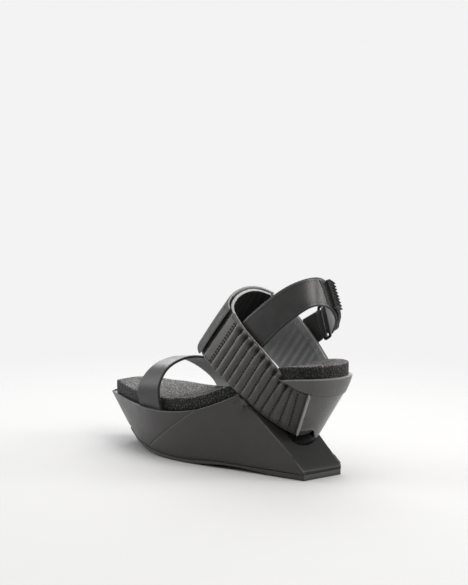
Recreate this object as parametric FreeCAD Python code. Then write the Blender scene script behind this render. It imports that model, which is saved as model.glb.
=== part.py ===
import FreeCAD, Part
import math
import os

# Left wedge sandal. The shape is laid out in "last" coordinates, in millimetres: +X to the toe, +Y to the
# outer side of the foot, +Z up, with x = 0 at the rear edge of the heel plate and y = 0 on the heel's centre
# line. Every solid is moved at the end so that the origin is the centre of the footprint, on the floor.

V = FreeCAD.Vector

# ---- driving dimensions -------------------------------------------------------------------------------
HEEL_CENTRE = V(12.0, 0.0, 0.0)     # centre of the round heel seat
SEAT_RADIUS = 29.4                  # footbed's heel radius
FLANGE_RADIUS = 32.4                # heel cup's rim radius, at FLANGE_Z
FLANGE_Z = 79.0
FOOTBED_THICK = 10.0
COVER_SKIN = 1.3                    # grained leather around the footbed
BOARD_THICK = 2.2                   # insole board
SHANK_THICK = 1.2
SHANK_WIDTH = 14.0
SHANK_LENGTH = 112.0
SHANK_START = -2.0                  # x of the shank's rear end
RIVET_RADIUS = 2.0
RIVET_LENGTH = 4.4
RIVET_PLACES = [(4.0, -1.0), (102.0, -1.0)]
PANEL = 1.2                         # leather wrapped round the wedge
PLATFORM_Z = 41.0                   # top of the wedge under the toes
RIM_LEVEL = 41.0                    # height at which the upper plan outline is given
OUTSOLE_TOP = 4.8                   # outsole's upper edge at the heel
REAR_FACE_TOP = 7.4                 # upright rear face of the wedge ends here
REAR_FACE_END = 1.5                 # x where the rear face's leather meets the side panels
SIDE_SPLIT = 4.0                    # y that parts the outer side panel from the inner one
PEAK = V(57.5, 34.0, 62.6)          # outer end of the wedge's peak
BAND_TILT = math.radians(36.0)      # the instep hoop climbs forward at this angle
BAND_HALF = 2.0                     # half the quilted band's thickness
BAND_LEATHER = 1.2
BAND_LINING = 0.8
STRAP_HALF = 1.2                    # half the ankle and toe straps' thickness
STRAP_LINING = 0.8
RING_WIRE = 1.2                     # ring's wire radius
CLEAR = 0.4                         # air between pieces that move past each other
WIDE = 80.0                         # half length of tools that run right across the shoe
ORIGIN = V(107.76, -5.67, 0.0)      # centre of the footprint in last coordinates

# ---- plan outlines: (x, y), heel to toe ---------------------------------------------------------------
FLOOR_OUTER = [(0.0, 26.0), (30.0, 27.0), (60.0, 28.5), (95.0, 30.4), (126.0, 29.8), (152.0, 23.8),
               (180.0, 9.6), (206.0, -13.5)]
FLOOR_INNER = [(-3.6, -13.0), (30.0, -14.8), (60.0, -23.5), (95.0, -32.0), (126.0, -38.0),
               (160.0, -41.0), (188.0, -40.0), (205.0, -33.0)]
RIM_OUTER = [(0.5, 27.0), (30.0, 30.0), (57.5, 33.2), (95.0, 37.2), (126.0, 38.2), (150.0, 34.4),
             (180.0, 21.6), (235.9, -13.2)]
RIM_INNER = [(-3.6, -13.5), (30.0, -16.8), (60.0, -30.0), (95.0, -40.0), (126.0, -46.5),
             (160.0, -50.0), (200.0, -50.0), (233.2, -36.0)]
REAR_CORNER = 4.4                   # rounding of the heel plate's inner rear corner
BED_OUTER = [(12.0, 29.4), (35.0, 29.2), (60.0, 30.2), (85.0, 32.3), (110.0, 33.6), (133.0, 32.6),
             (155.0, 27.0), (177.0, 18.0), (199.0, 7.0), (226.3, -9.5)]
BED_INNER = [(12.0, -29.4), (35.0, -28.0), (60.0, -27.8), (85.0, -31.5), (110.0, -37.5), (139.0, -42.8),
             (165.0, -45.6), (190.0, -46.8), (208.0, -45.0), (219.0, -40.5), (225.5, -32.0)]

# ---- side profiles: (x, z) ----------------------------------------------------------------------------
BED_LINE = [(250.0, PLATFORM_Z), (200.0, PLATFORM_Z), (165.0, PLATFORM_Z), (140.0, 41.2), (124.0, 42.2),
            (105.0, 45.2), (90.5, 49.0), (76.0, 54.4), (61.5, 60.8), (45.0, 67.6), (30.0, 73.2),
            (15.0, 77.2), (0.0, 78.7), (-30.0, 79.6)]
ARCH_RISE = 3.0
ARCH = [(14.0, 0.0), (40.0, 1.4), (74.0, ARCH_RISE), (98.0, 1.2), (112.0, 0.0)]
ROCKER = [(130.0, 0.0), (150.0, 0.8), (175.0, 3.0), (198.0, 6.2), (230.0, 12.2)]
OUTSOLE_FRONT = [(90.0, OUTSOLE_TOP), (110.0, 3.4), (130.0, 3.0), (150.0, 3.8), (175.0, 6.0), (198.0, 9.2),
                 (230.0, 15.2)]
SEAT_SEAM = [(22.0, 77.5), (15.0, 75.4), (8.0, 72.4), (0.0, 68.9), (-6.0, 66.9), (-14.0, 65.8), (-30.0, 65.4)]
PANEL_SEAM_LOW = V(168.0, 0.0, 3.0)
PANEL_SEAM_HIGH = V(92.0, 0.0, 50.0)

# ---- heel ---------------------------------------------------------------------------------------------
NECK_Z = 31.0                       # heel's narrowest height, with its centre x and outer radius there
NECK_X = 24.6
NECK_RADIUS = 17.8
HEEL_LEAN = 0.391                   # rearward lean of the heel's centre line, per mm of height
HEEL_FLARE = 8.0 / 35.0             # growth of its outer radius, per mm of height
CORE_RINGS = [(8.0, 33.6, 1.5, 13.6), (16.0, 30.6, 1.5, 15.0), (24.0, 28.2, 1.8, 17.6), (29.0, 25.8, 1.0, 16.4),
              (36.0, 22.7, 0.0, 13.4), (50.0, 17.2, 0.0, 16.7), (66.0, 11.0, 0.0, 20.4), (82.0, 9.5, 0.0, 24.3)]
CUP_LOW = 58.0                      # heel cup's hidden foot
CUP_MID = 66.0                      # height of the cup's lower edge
CUP_OVERHANG = 0.6                  # cup stands this far out of the cover below it
COVER_LEATHER = 1.4
COVER_FOOT = 20.0                   # heights that the cover's cone runs between
COVER_TOP = 80.0
COVER_EDGE_LOW = (19.6, 20.0)       # cover's front edge in side view, (x, z)
COVER_EDGE_HIGH = (-3.2, 66.5)
HEM = [(-WIDE, 38.0), (-12.0, 37.0), (-5.0, 29.0), (0.0, 29.5), (6.0, 36.0), (12.0, 36.5), (WIDE, 37.5)]
EDGE_CORD = 1.3                     # radius of the rolled strip on the cover's front edge
EDGE_LEVELS = (33.5, 44.0, 55.0, 64.5)
SCREW_LEAN = V(0.30, 0, -0.954)     # main heel screw's way down
BASE_LEAN = V(-0.36, 0, 0.933)      # base screws' way up
NAIL_PLACES = [(0.0, 9.0), (0.0, -9.0), (22.0, 9.0), (22.0, -9.0)]


def spline(points):
    curve = Part.BSplineCurve()
    curve.interpolate(points)
    return curve.toShape()


def flat_spline(pairs, z):
    return spline([V(x, y, z) for x, y in pairs])


def side_spline(pairs):
    return spline([V(x, -WIDE, z) for x, z in pairs])


def side_line(first, last):
    return Part.makeLine(V(first[0], -WIDE, first[1]), V(last[0], -WIDE, last[1]))


def across(edges):
    """Solid that runs right across the shoe from a closed side profile."""
    return Part.Face(Part.Wire(edges)).extrude(V(0, 2 * WIDE, 0))


def half_space(point, normal, size=400.0):
    """Big block on the side of a plane that its normal points to."""
    block = Part.makeBox(size, size, size, V(-size / 2, -size / 2, 0))
    turn = FreeCAD.Rotation(V(0, 0, 1), normal)
    block.Placement = FreeCAD.Placement(point, turn)
    return block


def carve(shape, tool):
    """Shape with a tool cut out of it, or the shape itself where the two don't meet."""
    if shape.common(tool).Volume < 0.001:
        return shape
    return shape.cut(tool)


# ---- sole unit ----------------------------------------------------------------------------------------
def level_outline(level, inset):
    """Plan outline of the hull at a height, on the straight lines through the floor and rim outlines."""
    share = level / RIM_LEVEL

    def blend(low, high, move):
        pairs = []
        for (x0, y0), (x1, y1) in zip(low, high):
            pairs.append((x0 + (x1 - x0) * share, y0 + (y1 - y0) * share + move))
        return pairs

    outer = blend(FLOOR_OUTER, RIM_OUTER, -inset)
    inner = blend(FLOOR_INNER, RIM_INNER, inset)
    outer[0] = (outer[0][0] + inset, outer[0][1])
    inner[0] = (inner[0][0] + inset, inner[0][1])
    outer[-1] = (outer[-1][0] - inset, outer[-1][1])
    inner[-1] = (inner[-1][0] - inset, inner[-1][1])
    corner = V(*inner[0], level)
    turn_end = corner + V(-REAR_CORNER, REAR_CORNER, 0)
    turn_mid = corner + V(-0.7 * REAR_CORNER, 0.3 * REAR_CORNER, 0)
    edges = [flat_spline(outer, level), Part.makeLine(V(*outer[-1], level), V(*inner[-1], level)),
             flat_spline(inner, level), Part.Arc(corner, turn_mid, turn_end).toShape(),
             Part.makeLine(turn_end, V(*outer[0], level))]
    return Part.Wire(Part.__sortEdges__(edges))


def hull(inset=0.0):
    """Flared hull of the wedge, taller than the shoe at both ends."""
    return Part.makeLoft([level_outline(-10.0, inset), level_outline(100.0, inset)], True, True)


def arch_edges():
    return [side_line((-20.0, 0.0), ARCH[0]), side_spline(ARCH), side_line(ARCH[-1], ROCKER[0])]


def outsole_block():
    top = [side_line((-20.0, OUTSOLE_TOP), OUTSOLE_FRONT[0]), side_spline(OUTSOLE_FRONT)]
    ends = [side_line((-20.0, 0.0), (-20.0, OUTSOLE_TOP)), side_line(ROCKER[-1], OUTSOLE_FRONT[-1])]
    return across(Part.__sortEdges__(arch_edges() + [side_spline(ROCKER)] + top + ends))


def above_outsole():
    bottom = [side_line((-20.0, OUTSOLE_TOP), OUTSOLE_FRONT[0]), side_spline(OUTSOLE_FRONT)]
    top_line = [(x, z) for x, z in BED_LINE]
    close = [side_line(OUTSOLE_FRONT[-1], (260.0, 30.0)), side_line((260.0, 30.0), top_line[0]),
             side_line(top_line[-1], (-30.0, OUTSOLE_TOP)), side_line((-30.0, OUTSOLE_TOP), (-20.0, OUTSOLE_TOP))]
    return across(Part.__sortEdges__(bottom + [side_spline(top_line)] + close))


def slope_normal():
    """Upward normal of the wedge's rear slope, whose foot is the slanted rear edge."""
    foot = V(RIM_OUTER[0][0], RIM_OUTER[0][1], REAR_FACE_TOP)
    inner_foot = V(RIM_INNER[0][0] - REAR_CORNER, RIM_INNER[0][1] + REAR_CORNER, REAR_FACE_TOP)
    normal = (PEAK - foot).cross(inner_foot - foot)
    if normal.z < 0:
        normal = normal * -1
    return normal.normalize()


SLOPE_FOOT = V(RIM_OUTER[0][0], RIM_OUTER[0][1], REAR_FACE_TOP)
SLOPE_NORMAL = slope_normal()


def above_slope(lower_by=0.0):
    return half_space(SLOPE_FOOT - SLOPE_NORMAL * lower_by, SLOPE_NORMAL)


def wedge_pieces(outer_hull, inner_hull, strap_slots):
    body = above_outsole()
    full = outer_hull.common(body).cut(above_slope())
    core = inner_hull.common(body).cut(above_slope(PANEL))
    skin = full.cut(inner_hull)
    slope_layer = full.common(inner_hull).common(above_slope(PANEL))
    seam_run = PANEL_SEAM_HIGH - PANEL_SEAM_LOW
    front_side = half_space(PANEL_SEAM_LOW, V(-seam_run.z, 0, seam_run.x) * -1)
    rear_strip = Part.makeBox(60, 2 * WIDE, 100, V(REAR_FACE_END - 60, -WIDE, 0))
    front = skin.common(front_side)
    rest = skin.cut(front_side)
    outer_side = Part.makeBox(400, WIDE, 200, V(-100, SIDE_SPLIT, 0))
    rear_face = rest.common(rear_strip)
    sides = rest.cut(rear_strip)
    pieces = {
        "wedge_core": core,
        "wedge_front_panel": front,
        "wedge_outer_panel": sides.common(outer_side),
        "wedge_inner_panel": sides.cut(outer_side),
        "wedge_slope_panel": slope_layer.fuse(rear_face).removeSplitter(),
    }
    for name in ("wedge_core", "wedge_front_panel", "wedge_outer_panel", "wedge_inner_panel"):
        for slot in strap_slots:
            pieces[name] = carve(pieces[name], slot)
    return pieces


# ---- footbed ------------------------------------------------------------------------------------------
def bed_outline(inset):
    outer = [(x, y - inset) for x, y in BED_OUTER]
    inner = [(x, y + inset) for x, y in BED_INNER]
    outer[-1] = (outer[-1][0] - inset, outer[-1][1])
    inner[-1] = (inner[-1][0] - inset, inner[-1][1])
    radius = SEAT_RADIUS - inset
    back = V(HEEL_CENTRE.x - radius, 0, 0)
    heel = Part.Arc(V(*outer[0], 0), back, V(*inner[0], 0)).toShape()
    front = Part.makeLine(V(*outer[-1], 0), V(*inner[-1], 0))
    edges = [heel, flat_spline(outer, 0), front, flat_spline(inner, 0)]
    return Part.Wire(Part.__sortEdges__(edges))


def bed_curve(offset):
    """Footbed line moved square to itself by an offset, as (x, z) pairs."""
    curve = Part.BSplineCurve()
    curve.interpolate([V(x, 0, z) for x, z in BED_LINE])
    pairs = []
    steps = 26
    for i in range(steps + 1):
        at = curve.FirstParameter + (curve.LastParameter - curve.FirstParameter) * i / steps
        place = curve.value(at)
        run = curve.tangent(at)[0]
        pairs.append((place.x + run.z * offset, place.z - run.x * offset))
    return pairs


def bed_layer(low, high, inset):
    """Layer of the footbed between two offsets from its underside."""
    below = bed_curve(low)
    over = bed_curve(high)
    slab = across([side_spline(below), side_line(below[-1], over[-1]),
                   side_spline(over[::-1]), side_line(over[0], below[0])])
    prism = Part.Face(bed_outline(inset)).extrude(V(0, 0, 150))
    return prism.common(slab)


def shank_solid():
    middle = RIVET_PLACES[0][1]
    bar_block = Part.makeBox(SHANK_LENGTH, SHANK_WIDTH, 150.0, V(SHANK_START, middle - SHANK_WIDTH / 2, 0))
    return bed_layer(BOARD_THICK, BOARD_THICK + SHANK_THICK, COVER_SKIN).common(bar_block)


def bed_height(x):
    """Height of the footbed's underside at x."""
    for (x1, z1), (x0, z0) in zip(BED_LINE, BED_LINE[1:]):
        if x0 <= x <= x1:
            return z0 + (z1 - z0) * (x - x0) / (x1 - x0)
    raise ValueError("x is outside the footbed")


def rivet(x, y):
    return Part.makeCylinder(RIVET_RADIUS, RIVET_LENGTH, V(x, y, bed_height(x))).cut(under_footbed())


def footbed_pieces():
    outer = bed_layer(0.0, FOOTBED_THICK, 0.0)
    inside = bed_layer(-2.0, FOOTBED_THICK - COVER_SKIN, COVER_SKIN)
    shank = shank_solid()
    rivets = Part.makeCompound([rivet(x, y) for x, y in RIVET_PLACES])
    board = bed_layer(0.0, BOARD_THICK, COVER_SKIN).cut(rivets)
    foam = bed_layer(BOARD_THICK, FOOTBED_THICK - COVER_SKIN, COVER_SKIN).cut(shank).cut(rivets)
    return {
        "footbed_cover": outer.cut(inside),
        "footbed_foam": foam,
        "insole_board": board,
        "shank": shank.cut(rivets),
        "shank_rivets": rivets,
    }


# ---- heel ---------------------------------------------------------------------------------------------
def heel_outer_radius(z):
    return NECK_RADIUS + (z - NECK_Z) * HEEL_FLARE


def heel_centre_x(z):
    return NECK_X - HEEL_LEAN * (z - NECK_Z)


def circle_wire(x, z, radius, y=0.0):
    return Part.Wire(Part.makeCircle(radius, V(x, y, z)))


def heel_core_block():
    """Leaning, waisted block between the wedge's slope and the seat."""
    return Part.makeLoft([circle_wire(x, z, r, y) for z, x, y, r in CORE_RINGS], True, True)


def above_seat_seam(top=120.0):
    first, last = SEAT_SEAM[0], SEAT_SEAM[-1]
    edges = [side_spline(SEAT_SEAM), side_line(last, (last[0], top)),
             side_line((last[0], top), (first[0], top)), side_line((first[0], top), first)]
    return across(edges)


def under_footbed():
    first, last = BED_LINE[0], BED_LINE[-1]
    edges = [side_spline(BED_LINE), side_line(last, (last[0], 0.0)),
             side_line((last[0], 0.0), (first[0], 0.0)), side_line((first[0], 0.0), first)]
    return across(edges)


def seat_cone():
    low_ring = circle_wire(heel_centre_x(CUP_LOW), CUP_LOW, heel_outer_radius(CUP_LOW) - CUP_OVERHANG)
    mid_ring = circle_wire(heel_centre_x(CUP_MID), CUP_MID, heel_outer_radius(CUP_MID) + CUP_OVERHANG)
    top_ring = circle_wire(HEEL_CENTRE.x, FLANGE_Z, FLANGE_RADIUS)
    over_ring = circle_wire(HEEL_CENTRE.x, FLANGE_Z + 4, FLANGE_RADIUS)
    cone = Part.makeLoft([low_ring, mid_ring], True, True)
    cone = cone.fuse(Part.makeLoft([mid_ring, top_ring], True, True))
    return cone.fuse(Part.makeLoft([top_ring, over_ring], True, True)).removeSplitter()


def cover_edge_x(z):
    (x0, z0), (x1, z1) = COVER_EDGE_LOW, COVER_EDGE_HIGH
    return x0 + (x1 - x0) * (z - z0) / (z1 - z0)


def heel_cover_piece(seam_tool):
    """Rear leather wrapped round the heel from one band edge to the other."""
    def cone(shrink):
        rings = []
        for z in (COVER_FOOT, COVER_TOP):
            rings.append(circle_wire(heel_centre_x(z), z, heel_outer_radius(z) - shrink))
        return Part.makeLoft(rings, True, True)

    sheet = cone(0.0).cut(cone(COVER_LEATHER))
    over_seam = (cover_edge_x(COVER_TOP), COVER_TOP)
    lean = [(-40.0, COVER_FOOT), COVER_EDGE_LOW, over_seam, (-40.0, COVER_TOP)]
    keep = across([side_line(a, b) for a, b in zip(lean, lean[1:] + lean[:1])])
    below = [(-WIDE, COVER_FOOT)] + HEM + [(WIDE, COVER_FOOT)]
    corners = [V(-60.0, y, z) for y, z in below]
    below_hem = Part.Face(Part.makePolygon(corners + corners[:1])).extrude(V(120, 0, 0))
    return sheet.common(keep).cut(below_hem).cut(seam_tool)


def edge_strip(side):
    """Folded leather strip down the front edge of the rear cover."""
    rail = []
    for z in EDGE_LEVELS:
        x = cover_edge_x(z)
        span = x - heel_centre_x(z)
        reach = heel_outer_radius(z) + 0.2
        y = math.sqrt(max(reach * reach - span * span, 1.0))
        rail.append(V(x + EDGE_CORD + 0.3, side * (y + 0.35), z))
    run = rail[-1] - rail[0]
    sections = [Part.Wire(Part.makeCircle(EDGE_CORD, place, run)) for place in rail]
    return Part.makeLoft(sections, True, True)


def screw(radius, head_radius, length, foot, along):
    shaft = Part.makeCylinder(radius, length, foot, along)
    head = Part.makeCone(head_radius, radius, head_radius - radius, foot, along)
    return shaft.fuse(head)


def heel_fasteners():
    seat_top = V(HEEL_CENTRE.x, 0, bed_height(HEEL_CENTRE.x + 1.0) - 0.05)
    main = screw(2.4, 4.4, 40.0, seat_top, SCREW_LEAN)
    nails = []
    for x, y in NAIL_PLACES:
        nails.append(Part.makeCylinder(1.1, 14.0, V(x, y, bed_height(x) - 0.3), V(0, 0, -1)))
    base = []
    for y in (-6.0, 6.0):
        base.append(screw(2.2, 4.0, 44.0, V(33.0, y, OUTSOLE_TOP + 0.1), BASE_LEAN))
    return {"heel_screw": main, "heel_nails": Part.makeCompound(nails),
            "heel_base_screws": Part.makeCompound(base)}


# ---- straps -------------------------------------------------------------------------------------------
def edge_frames(upper, lower):
    """For each pair of edge points: the outward normal of the strip there."""
    normals = []
    count = len(upper)
    for i in range(count):
        before = max(i - 1, 0)
        after = min(i + 1, count - 1)
        run = (upper[after] + lower[after]) - (upper[before] + lower[before])
        width = upper[i] - lower[i]
        normals.append(run.cross(width).normalize())
    return normals


def strip(upper, lower, inside, outside, trim=0.0):
    """Solid strip between two edge lines, from one offset of its middle surface to another."""
    normals = edge_frames(upper, lower)
    sections = []
    for top, bottom, normal in zip(upper, lower, normals):
        width = (top - bottom).normalize()
        a = top - width * trim
        b = bottom + width * trim
        corners = [a + normal * outside, a + normal * inside, b + normal * inside, b + normal * outside]
        sections.append(Part.makePolygon(corners + corners[:1]))
    return Part.makeLoft(sections, True, True)


def resample(points, count):
    """Evenly spaced points on a smooth curve through the given ones."""
    curve = Part.BSplineCurve()
    curve.interpolate(points)
    return curve.discretize(Number=count)


def hoop_point(s, y, w):
    """Point from hoop coordinates: s along the climb, y across, w square to the hoop's plane."""
    c, n = math.cos(BAND_TILT), math.sin(BAND_TILT)
    return V(s * c - w * n, y, s * n + w * c)


def heel_wrap(turn_deg, w, side):
    """Band's middle surface where it goes round the heel block, at an angle from the rear."""
    turn = math.radians(turn_deg)
    z = 50.0
    for _ in range(12):
        radius = heel_outer_radius(z) - 1.4 - BAND_HALF
        x = heel_centre_x(z) - radius * math.cos(turn)
        z = (w + x * math.sin(BAND_TILT)) / math.cos(BAND_TILT)
    return V(x, side * radius * math.sin(turn), z)


def outer_band_edges():
    upper = [heel_wrap(a, w, 1) for a, w in ((2, 57.5), (25, 57.5), (50, 56.5), (75, 54.5))]
    lower = [heel_wrap(a, w, 1) for a, w in ((2, 25.0), (25, 21.5), (50, 17.5), (75, 15.5))]
    rows = [(57.0, 26.8, 53.0, 24.5, 14.8), (70.0, 30.4, 56.4, 29.5, 16.0), (88.0, 32.6, 59.6, 33.4, 17.4),
            (105.0, 32.6, 60.8, 34.6, 16.8), (121.0, 30.2, 62.0, 33.6, 16.9), (127.0, 28.4, 62.5, 32.6, 17.1)]
    for s, y_up, w_up, y_low, w_low in rows:
        upper.append(hoop_point(s, y_up, w_up))
        lower.append(hoop_point(s, y_low, w_low))
    return upper, lower


def instep_edges():
    """Edges of the band's flat end, over the instep to the inner side, from the quilting's last row."""
    rows = [(127.0, 28.4, 62.5, 32.6, 17.1), (133.6, 25.2, 63.6, 29.8, 17.4), (139.2, 18.5, 66.5, 22.8, 19.0),
            (142.6, 7.5, 69.5, 10.5, 21.0), (143.2, -4.5, 71.0, -3.6, 22.5), (140.6, -15.5, 71.0, -16.0, 23.0),
            (135.8, -23.4, 70.5, -24.6, 23.0)]
    upper = [hoop_point(s, y_up, w_up) for s, y_up, w_up, y_low, w_low in rows]
    lower = [hoop_point(s, y_low, w_low) for s, y_up, w_up, y_low, w_low in rows]
    return resample(upper, 11), resample(lower, 11)


def inner_band_edges():
    upper = [heel_wrap(a, w, -1) for a, w in ((2, 57.5), (25, 57.5), (50, 58.0), (75, 59.5))]
    lower = [heel_wrap(a, w, -1) for a, w in ((2, 25.0), (25, 21.5), (50, 17.5), (75, 15.5))]
    rows = [(57.0, -26.8, 60.8, -24.5, 15.5), (74.0, -31.4, 62.5, -30.4, 18.4), (93.0, -34.4, 65.1, -33.6, 21.5),
            (112.0, -33.8, 68.0, -34.4, 22.2), (126.0, -29.8, 70.0, -31.0, 22.5),
            (134.2, -24.8, 70.5, -26.0, 23.0)]
    for s, y_up, w_up, y_low, w_low in rows:
        upper.append(hoop_point(s, y_up, w_up))
        lower.append(hoop_point(s, y_low, w_low))
    return upper, lower


def flap_edges():
    """Instep flap's edges, from its sewn end on the inner side to its free end on the outer side."""
    rows = [(133.4, -25.4, 71.2, -26.8, 22.8), (140.0, -16.6, 71.8, -17.2, 22.6), (143.2, -4.5, 71.2, -3.6, 21.8),
            (142.6, 7.5, 69.6, 10.5, 20.4), (139.2, 18.5, 66.6, 22.8, 18.6), (134.8, 24.2, 64.2, 28.6, 17.2),
            (131.0, 26.6, 63.6, 30.9, 16.9)]
    upper = [hoop_point(s, y_up, w_up) for s, y_up, w_up, y_low, w_low in rows]
    lower = [hoop_point(s, y_low, w_low) for s, y_up, w_up, y_low, w_low in rows]
    return resample(upper, 13), resample(lower, 13)


TOE_FRONT = [(168.0, 22.9, 38.6), (168.6, 23.8, 42.0), (169.6, 25.4, 52.0), (167.8, 24.4, 59.8),
             (165.4, 21.0, 66.6), (162.4, 15.4, 72.6), (158.9, 7.4, 77.0), (156.4, -1.0, 78.8),
             (156.0, -12.0, 78.2), (154.6, -22.0, 75.0), (151.0, -32.0, 69.0), (146.6, -39.5, 62.0),
             (142.0, -43.2, 55.0), (139.5, -44.2, 48.0), (138.5, -44.2, 38.6)]
TOE_REAR = [(136.0, 33.8, 38.6), (137.2, 34.2, 42.0), (138.4, 35.4, 52.0), (138.9, 35.0, 60.0),
            (138.9, 31.7, 67.0), (138.0, 25.8, 74.0), (136.3, 15.4, 79.3), (133.8, 3.0, 81.8),
            (130.5, -9.0, 81.2), (127.0, -20.0, 78.2), (123.5, -30.0, 72.2), (120.0, -37.0, 65.0),
            (117.5, -40.2, 57.0), (116.5, -41.2, 48.0), (116.0, -41.2, 38.6)]
ANKLE_UPPER = [(63.0, 27.0, 114.4), (58.2, 27.3, 118.6), (41.0, 25.6, 133.1), (28.8, 21.0, 143.2),
               (17.4, 15.0, 150.7), (10.0, 8.6, 154.0), (6.0, 1.5, 154.6), (5.0, -6.5, 152.3),
               (7.6, -16.0, 146.5), (14.8, -26.0, 139.0), (21.5, -33.0, 133.0)]
ANKLE_LOWER = [(43.4, 28.4, 96.4), (38.8, 28.3, 100.6), (20.6, 26.4, 118.0), (8.4, 22.6, 128.0),
               (0.6, 16.6, 133.8), (-2.6, 9.6, 134.6), (-4.0, 1.0, 132.6), (-3.6, -7.5, 127.6),
               (-0.4, -16.0, 120.6), (7.8, -26.0, 113.0), (14.8, -33.0, 107.8)]
TAB_LAST_SPAN = 0.35                # share of the last span that the closure tab reaches
RING_REAR = (V(25.6, -36.6, 130.2), V(18.4, -36.6, 105.0))      # bar that the strap folds round
RING_FRONT = (V(31.4, -38.0, 126.6), V(24.2, -38.0, 101.4))     # bar in the holder's loop
HOLDER_BASE = (V(47.0, -39.4, 116.2), V(40.0, -39.2, 91.8))
HOLDER_HALF = 1.1                   # half the connector's thickness
HOLDER_LOOP = 1.3                   # leather round the ring's front bar
TAB_HALF = 0.9                      # half the closure tab's thickness
TAB_LOOP = 1.2                      # leather round the ring's rear bar
PATCH = 0.7                         # hook and loop faces on the ankle strap and tab
INSTEP_PATCH = 0.9                  # hook and loop faces on the instep
FLAP_THICK = 1.9


def vectors(triples):
    return [V(*t) for t in triples]


def toe_strap_pieces():
    front, rear = vectors(TOE_FRONT), vectors(TOE_REAR)
    return {
        "toe_strap": strip(front, rear, STRAP_LINING - STRAP_HALF, STRAP_HALF),
        "toe_strap_lining": strip(front, rear, -STRAP_HALF, STRAP_LINING - STRAP_HALF),
    }


def bar(ends, radius):
    run = ends[1] - ends[0]
    return Part.makeCylinder(radius, run.Length, ends[0], run)


def ring_piece():
    sides = [(RING_REAR[0], RING_FRONT[0]), (RING_REAR[1], RING_FRONT[1])]
    ring = bar(RING_REAR, RING_WIRE).fuse([bar(RING_FRONT, RING_WIRE)] + [bar(s, RING_WIRE) for s in sides])
    corners = [Part.makeSphere(RING_WIRE, p) for p in RING_REAR + RING_FRONT]
    return ring.fuse(corners).removeSplitter()


def shorten(ends, by):
    run = (ends[1] - ends[0]).normalize()
    return (ends[0] + run * by, ends[1] - run * by)


def holder_piece():
    """Rolled connector from the inner band to the ring, with a loop round the ring's front bar."""
    loop = shorten(RING_FRONT, 2.0)
    near = RING_FRONT[0] + (HOLDER_BASE[0] - RING_FRONT[0]) * 0.10
    far = RING_FRONT[1] + (HOLDER_BASE[1] - RING_FRONT[1]) * 0.10
    mid = [(a + b) * 0.5 for a, b in zip(shorten((near, far), 1.6), HOLDER_BASE)]
    edges = [shorten((near, far), 1.6), (mid[0], mid[1]), HOLDER_BASE]
    slab = strip([e[0] for e in edges], [e[1] for e in edges], -HOLDER_HALF, HOLDER_HALF)
    sleeve = bar(loop, RING_WIRE + HOLDER_LOOP)
    return slab.fuse(sleeve).cut(bar(RING_FRONT, RING_WIRE))


def tab_edges(out):
    """Closure tab's edges: the ankle strap's own line from the ring back towards the rear, moved out."""
    upper = vectors(ANKLE_UPPER)[::-1][:5]
    lower = vectors(ANKLE_LOWER)[::-1][:5]
    normals = edge_frames(upper, lower)
    upper[-1] = upper[-2] + (upper[-1] - upper[-2]) * TAB_LAST_SPAN
    lower[-1] = lower[-2] + (lower[-1] - lower[-2]) * TAB_LAST_SPAN
    lead_upper = [RING_REAR[0] + (upper[0] - RING_REAR[0]) * 0.30]
    lead_lower = [RING_REAR[1] + (lower[0] - RING_REAR[1]) * 0.30]
    upper = lead_upper + [p - n * out for p, n in zip(upper, normals)]
    lower = lead_lower + [p - n * out for p, n in zip(lower, normals)]
    return upper, lower


def ankle_pieces():
    upper, lower = vectors(ANKLE_UPPER), vectors(ANKLE_LOWER)
    loop_up, loop_low = upper[6:10], lower[6:10]
    return {
        "ankle_strap": strip(upper, lower, STRAP_LINING - STRAP_HALF, STRAP_HALF),
        "ankle_strap_lining": strip(upper, lower, -STRAP_HALF, STRAP_LINING - STRAP_HALF),
        "ankle_loop_patch": strip(loop_up, loop_low, STRAP_HALF, STRAP_HALF + PATCH, 2.4),
    }


def tab_pieces():
    out = STRAP_HALF + PATCH + CLEAR + PATCH + TAB_HALF
    upper, lower = tab_edges(out)
    sleeve = bar(shorten(RING_REAR, 2.4), RING_WIRE + CLEAR + TAB_LOOP).cut(bar(RING_REAR, RING_WIRE + CLEAR))
    tab = strip(upper, lower, -TAB_HALF, TAB_HALF, 1.8).cut(bar(RING_REAR, RING_WIRE + CLEAR)).fuse(sleeve)
    hook = strip(upper[2:5], lower[2:5], TAB_HALF, TAB_HALF + PATCH, 2.8)
    return {"closure_tab": tab, "closure_hook_patch": hook}


def band_layers(prefix, edges, tools):
    upper, lower = edges
    layers = {
        prefix + "_lining": strip(upper, lower, -BAND_HALF, -BAND_HALF + BAND_LINING),
        prefix + "_padding": strip(upper, lower, -BAND_HALF + BAND_LINING, BAND_HALF - BAND_LEATHER, 3.0),
        prefix + "_quilt": strip(upper, lower, BAND_HALF - BAND_LEATHER, BAND_HALF),
    }
    for name in layers:
        for tool in tools:
            layers[name] = carve(layers[name], tool)
    return layers


def flipped(edges):
    """Same edges taken the other way along, so that outward stays outward."""
    return edges[0][::-1], edges[1][::-1]


def instep_pieces():
    upper, lower = instep_edges()
    loop_top = BAND_HALF - BAND_LEATHER + INSTEP_PATCH
    flap_up, flap_low = flap_edges()
    hook_low = loop_top + CLEAR
    flap_low_face = hook_low + INSTEP_PATCH
    return {
        "outer_band_end_panel": strip(*flipped((upper, lower)), -BAND_HALF, BAND_HALF - BAND_LEATHER),
        "instep_loop_patch": strip(*flipped((upper[4:10], lower[4:10])), BAND_HALF - BAND_LEATHER, loop_top, 4.0),
        "instep_flap": strip(flap_up, flap_low, flap_low_face, flap_low_face + FLAP_THICK),
        "instep_hook_patch": strip(flap_up[3:11], flap_low[3:11], hook_low, flap_low_face, 4.5),
    }


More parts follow.
